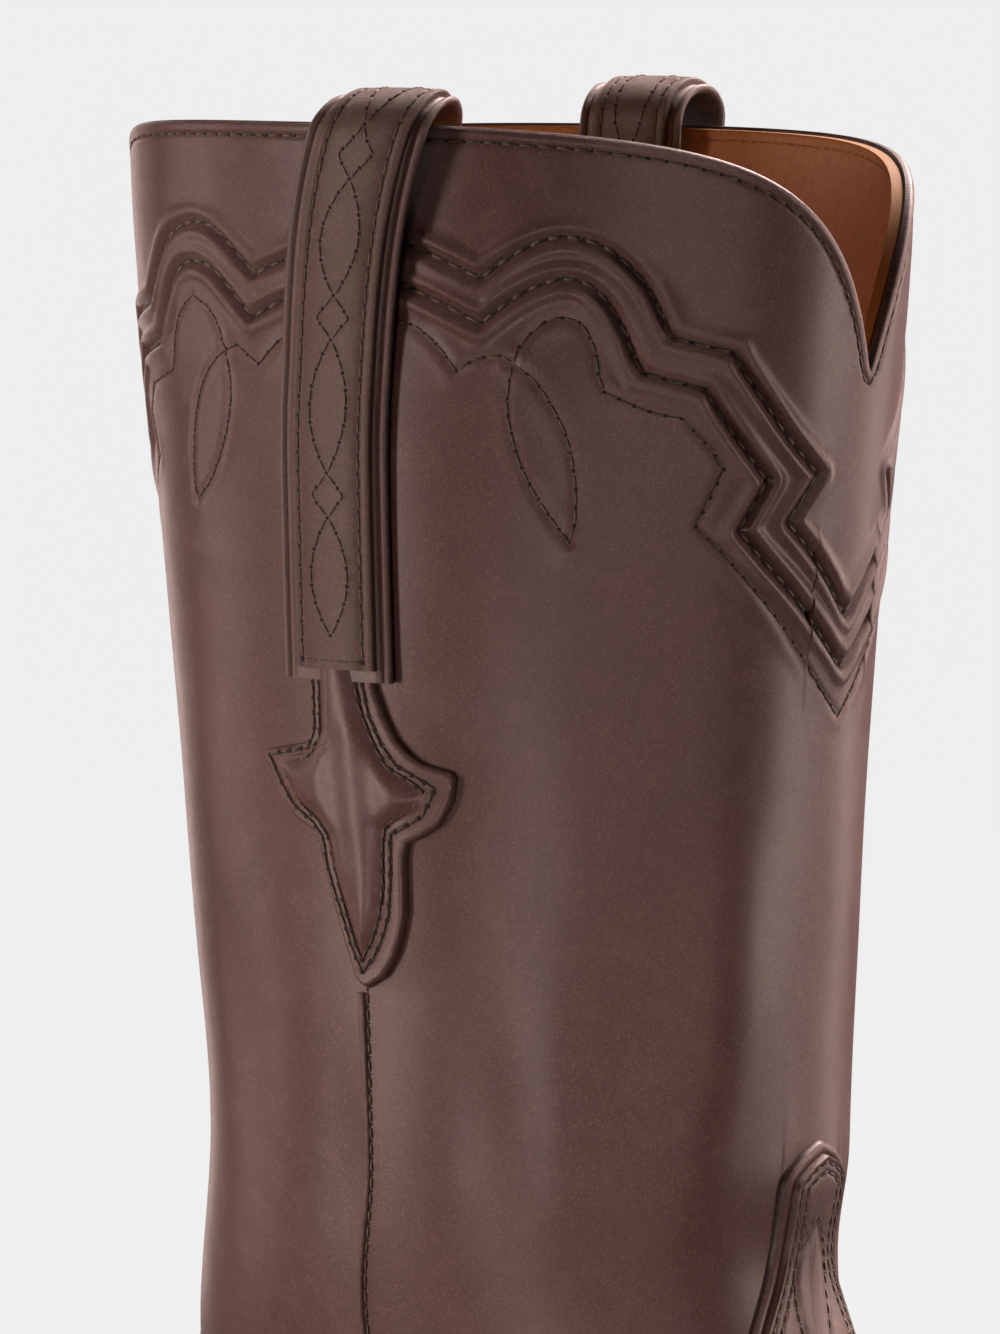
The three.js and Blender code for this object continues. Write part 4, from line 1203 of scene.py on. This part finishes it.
def edgeStrip(name, start, end, count, low, high, finish):
    turn = evenTurns(start, end, count)
    far = soleEdge(turn)
    inner = np.full(turn.shape, float(bottom["weltInner"]))
    corner = 0.5
    profile = [(inner, high), (far - 2.6, high), (far - corner, high), (far - 0.15, high - 0.15),
               (far, high - corner), (far, low + 0.2), (far - 0.2, low), (inner, low)]
    points = np.array([solePoint(turn, distance, rise) for distance, rise in profile])
    piece(name, points, loopSolid(points), finish, replaces=[name], sharp=45)
    return turn


def soleBody():
    weltTop = -bottom["gap"]
    weltFoot = weltTop - bottom["welt"]
    soleTop = weltFoot - 0.06
    soleFoot = weltFoot - bottom["gap"] - bottom["sole"]
    breast = bottom["breastTurn"]
    turn = edgeStrip("welt", breast + 0.3, 360 - breast - 0.3, 300, weltFoot, weltTop, trimCalf)
    edgeStrip("heel_seat_rand", -breast + 0.4, breast - 0.4, 90, weltFoot, weltTop, trimCalf)
    sewing = Sewing("welt_sewing")
    fine = evenTurns(turn[0] + 1, turn[-1] - 1, 1500)
    points = solePoint(fine, soleEdge(fine) - 2.3, weltTop + 0.02)
    sewing.row(points, np.tile((0.0, 0.0, 1.0), (len(fine), 1)), 3.1, 0.75, 0.7)
    sewing.finish()
    count = bottom["count"]
    half = evenTurns(0, 180, count // 2 + 1)
    turn = np.concatenate([half, 360 - half[-2:0:-1]])
    far = soleEdge(turn)
    rounds = [(-3.0, soleTop), (-0.4, soleTop), (0, soleTop - 0.4), (0.1, (soleTop + soleFoot) / 2),
              (0, soleFoot + 0.9), (-0.35, soleFoot + 0.25), (-1.1, soleFoot), (-2.2, soleFoot),
              (-2.6, soleFoot + 0.25), (-3.0, soleFoot)]
    points = np.array([solePoint(turn, far + distance, rise) for distance, rise in rounds])
    faces = gridFaces(len(rounds), len(turn), closedColumns=True)
    paint = [0] * (5 * len(turn)) + [1] * (len(faces) - 5 * len(turn))
    for base in (0, (len(rounds) - 1) * len(turn)):
        for i in range(count // 2):
            j, k = (len(turn) - i) % len(turn), (len(turn) - i - 1) % len(turn)
            loop = [base + i, base + i + 1, base + k, base + j]
            faces.append(list(dict.fromkeys(loop)))
            paint.append(1)
    piece("outsole", points, faces, [soleEdgeFinish, soleGrain], replaces=["outsole"],
          paint=paint, sharp=40)


soleBody()

# stacked heel

heel = dict(lifts=5, height=34.8, cap=6, turn=52, topBack=-63.2, floorBack=-53, topBreast=-7, floorBreast=-13,
            narrow=0.86, hollow=2.2, nails=5, nailSweep=0.62, nailInset=10, nailFromBack=9, nailCrowding=0.8)


def heelOutline(height):
    share = height / heel["height"]
    backX = heel["floorBack"] + (heel["topBack"] - heel["floorBack"]) * share
    breastX = heel["floorBreast"] + (heel["topBreast"] - heel["floorBreast"]) * share
    waist = 1 - 0.035 * math.sin(math.pi * share)
    narrow = (heel["narrow"] + (1 - heel["narrow"]) * share) * waist
    turn = np.linspace(0, heel["turn"], 48)
    outline = solePoint(turn, np.full(48, bottom["heelEdge"]), 0)
    x = backX + (breastX - backX) * (outline[:, 0] - outline[0, 0]) / (outline[-1, 0] - outline[0, 0])
    half = -outline[:, 1] * narrow
    across = np.linspace(half[-1] - 0.6, -half[-1] + 0.6, 24)
    hollow = heel["hollow"] * np.cos(across / half[-1] * math.pi / 2) ** 0.8
    front = np.stack([breastX + 0.1 - hollow, across], 1)
    near, far = np.stack([x, half], 1), np.stack([x, -half], 1)
    return np.concatenate([near[1:-1], front, far[-2:0:-1], [[x[0], 0]]])


def heelBlock(name, low, high, finish, edgeRound):
    rings = [(high, -edgeRound), (high - edgeRound, 0), (low + edgeRound, 0), (low, -edgeRound)]
    points = []
    for height, grow in rings:
        outline = heelOutline(height)
        centre = outline.mean(0)
        away = outline - centre
        outline = outline + unit(away) * grow
        points.append(np.column_stack([outline, np.full(len(outline), height)]))
    points = np.array(points)
    count = points.shape[1]
    faces = gridFaces(len(rings), count, closedColumns=True)
    faces += [list(range(count)), list(range(3 * count, 4 * count))]
    return piece(name, points, faces, finish, replaces=[name], sharp=30)


def nailPlaces():
    inward = bottom["heelEdge"] - heel["nailInset"]
    rest = sectionPoint(heelSeat, 0)[0] - inward
    furthest = heel["turn"] * heel["nailSweep"]
    for turn in np.linspace(-furthest, furthest, heel["nails"]):
        spot = solePoint(np.array([turn]), np.array([inward]), 0)[0]
        x = heel["floorBack"] + heel["nailFromBack"] + (spot[0] - rest) * heel["nailCrowding"]
        yield x, spot[1] * heel["narrow"]


def stackedHeel():
    liftHeight = (heel["height"] - heel["cap"]) / heel["lifts"]
    for i in range(heel["lifts"]):
        low = heel["cap"] + i * liftHeight
        top = low + liftHeight - (0.05 if i < heel["lifts"] - 1 else 0.1)
        heelBlock(f"heel_lift_{i + 1}", low, top, stackedEdge, 0.22)
    cap = heelBlock("heel_cap", 0.0, heel["cap"] - 0.1, moulded, 0.35)
    drill = bmesh.new()
    holeRadius = 0.00245  # metres, a little wider than a nail's head
    for x, y in nailPlaces():
        made = bmesh.ops.create_cone(drill, segments=24, radius1=holeRadius, radius2=holeRadius, depth=0.006,
                                     cap_ends=True)
        bmesh.ops.translate(drill, verts=made["verts"], vec=((x + shift) / 1000, y / 1000, -0.0002))
    mesh = bpy.data.meshes.new("nail holes")
    drill.to_mesh(mesh)
    drill.free()
    cutter = bpy.data.objects.new("nail holes", mesh)
    bpy.context.scene.collection.objects.link(cutter)
    cut = cap.modifiers.new("holes", "BOOLEAN")
    cut.object, cut.operation, cut.solver = cutter, "DIFFERENCE", "EXACT"
    view = bpy.context.evaluated_depsgraph_get()
    result = bpy.data.meshes.new_from_object(cap.evaluated_get(view))
    cap.modifiers.clear()
    cap.data = result
    cap.data.set_sharp_from_angle(angle=math.radians(30))
    bpy.data.objects.remove(cutter)


stackedHeel()
print("bottom and heel made")

# frame pieces that keep their shape

kept = {"vamp_lining": tanLining, "sock_lining": tanLining, "heel_stiffener": fibreBoard,
        "toe_puff": fibreBoard, "insole": soleGrain, "cork_filler": corkBoard, "shank": rolledSteel}
kept.update({f"heel_nail_{i + 1}": rolledSteel for i in range(heel["nails"])})
for name, material in kept.items():
    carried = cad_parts[name]
    carried.data.materials.clear()
    carried.data.materials.append(material)

# camera, floor and light

view = dict(azimuth=33, tilt=5.74, place=(705.9, -1091.7, 380), lens=207)
eye = bpy.data.cameras.new("camera")
eye.lens = view["lens"]
eye.sensor_width = 36
eye.clip_end = 60
camera = bpy.data.objects.new("camera", eye)
camera.location = [(view["place"][0] + shift) / 1000, view["place"][1] / 1000, view["place"][2] / 1000]
camera.rotation_euler = [math.radians(90 - view["tilt"]), 0, math.radians(view["azimuth"])]
bpy.context.scene.collection.objects.link(camera)
bpy.context.scene.camera = camera


def paleCard(name, code, glow):
    # translucent white board lit from below: even and nearly shadowless, so the boot's outline stays clean
    material, tree, shader, place = startMaterial(name)
    fine = add(tree, "TexNoise", {"Vector": place, "Scale": perMetre(4), "Detail": 3.0})
    base = mixOf(tree, spread(tree, fine.outputs[0], 0.3, 0.7, 0.0, 0.5), colour(code), colour("191919"))
    tree.links.new(base, shader.inputs["Base Color"])
    shader.inputs["Roughness"].default_value = 0.95
    shader.inputs["Specular IOR Level"].default_value = 0.0
    shader.inputs["Emission Color"].default_value = (1, 1, 1, 1)
    shader.inputs["Emission Strength"].default_value = glow
    return material


def studioFloor():  # a round floor that sweeps up into a wall on every side
    turns = np.linspace(0, 2 * math.pi, 97)[:-1]
    bend = [(0.01, 0), (1.2, 0), (3.2, 0)] + [(3.2 + 1.6 * math.sin(a), 1.6 * (1 - math.cos(a)))
                                              for a in np.radians(np.arange(10, 91, 10))] + [(4.8, 4.5)]
    points = np.array([[(r * math.cos(t), r * math.sin(t), z) for t in turns] for r, z in bend])
    mesh = bpy.data.meshes.new("studio floor")
    faces = gridFaces(len(bend), len(turns), closedColumns=True) + [list(range(len(turns)))]
    mesh.from_pydata(points.reshape(-1, 3).tolist(), [], faces)
    mesh.shade_smooth()
    mesh.materials.append(paleCard("light table, opal white", "161616", 0.856))
    floor = bpy.data.objects.new("studio floor", mesh)
    floor.visible_diffuse = floor.visible_glossy = floor.visible_shadow = False  # only the boxes light the boot
    bpy.context.scene.collection.objects.link(floor)


def softBox(name, azimuth, distance, height, size, watts, aim=0.22, opening=180):
    # azimuth runs from the toe's direction, turning left; a box is aimed at the leg, at the height aim
    middle = Vector((-0.08, 0, aim))
    turn = math.radians(azimuth)
    lamp = bpy.data.lights.new(name, "AREA")
    lamp.shape = "RECTANGLE"
    lamp.size, lamp.size_y = size
    lamp.energy = watts
    lamp.color = colour("ffe4dc")[:3]  # warm studio lamps
    lamp.spread = math.radians(opening)
    made = bpy.data.objects.new(name, lamp)
    made.location = (middle.x + distance * math.cos(turn), distance * math.sin(turn), height)
    made.rotation_euler = (middle - made.location).to_track_quat("-Z", "Y").to_euler()
    made.visible_camera = False
    bpy.context.scene.collection.objects.link(made)


studioFloor()
softBox("overhead box, far side", 80, 0.8, 1.1, (0.6, 0.6), 44)
softBox("strip, far side behind the back", 146, 1.0, 0.3, (0.24, 0.7), 1.6)
softBox("strip, far side by the toe", 68, 1.0, 0.3, (0.24, 0.7), 3.2)
softBox("strip, behind the back", 195, 1.0, 0.3, (0.24, 0.7), 3.0)
softBox("strip, past the toe", 22, 1.0, 0.24, (0.2, 0.6), 5.6)
softBox("strip, outer side", 236, 1.0, 0.24, (0.2, 0.6), 7.4)
softBox("low box, outer side", 277, 0.7, 0.06, (0.25, 0.15), 0.18, aim=0.14, opening=50)
air = bpy.data.worlds.new("studio air")
bpy.context.scene.world = air
air.use_nodes = True
air.node_tree.nodes["Background"].inputs["Color"].default_value = (1, 1, 1, 1)
air.node_tree.nodes["Background"].inputs["Strength"].default_value = 0.03
bpy.context.scene.view_settings.view_transform = "Standard"
print("camera and lights set")
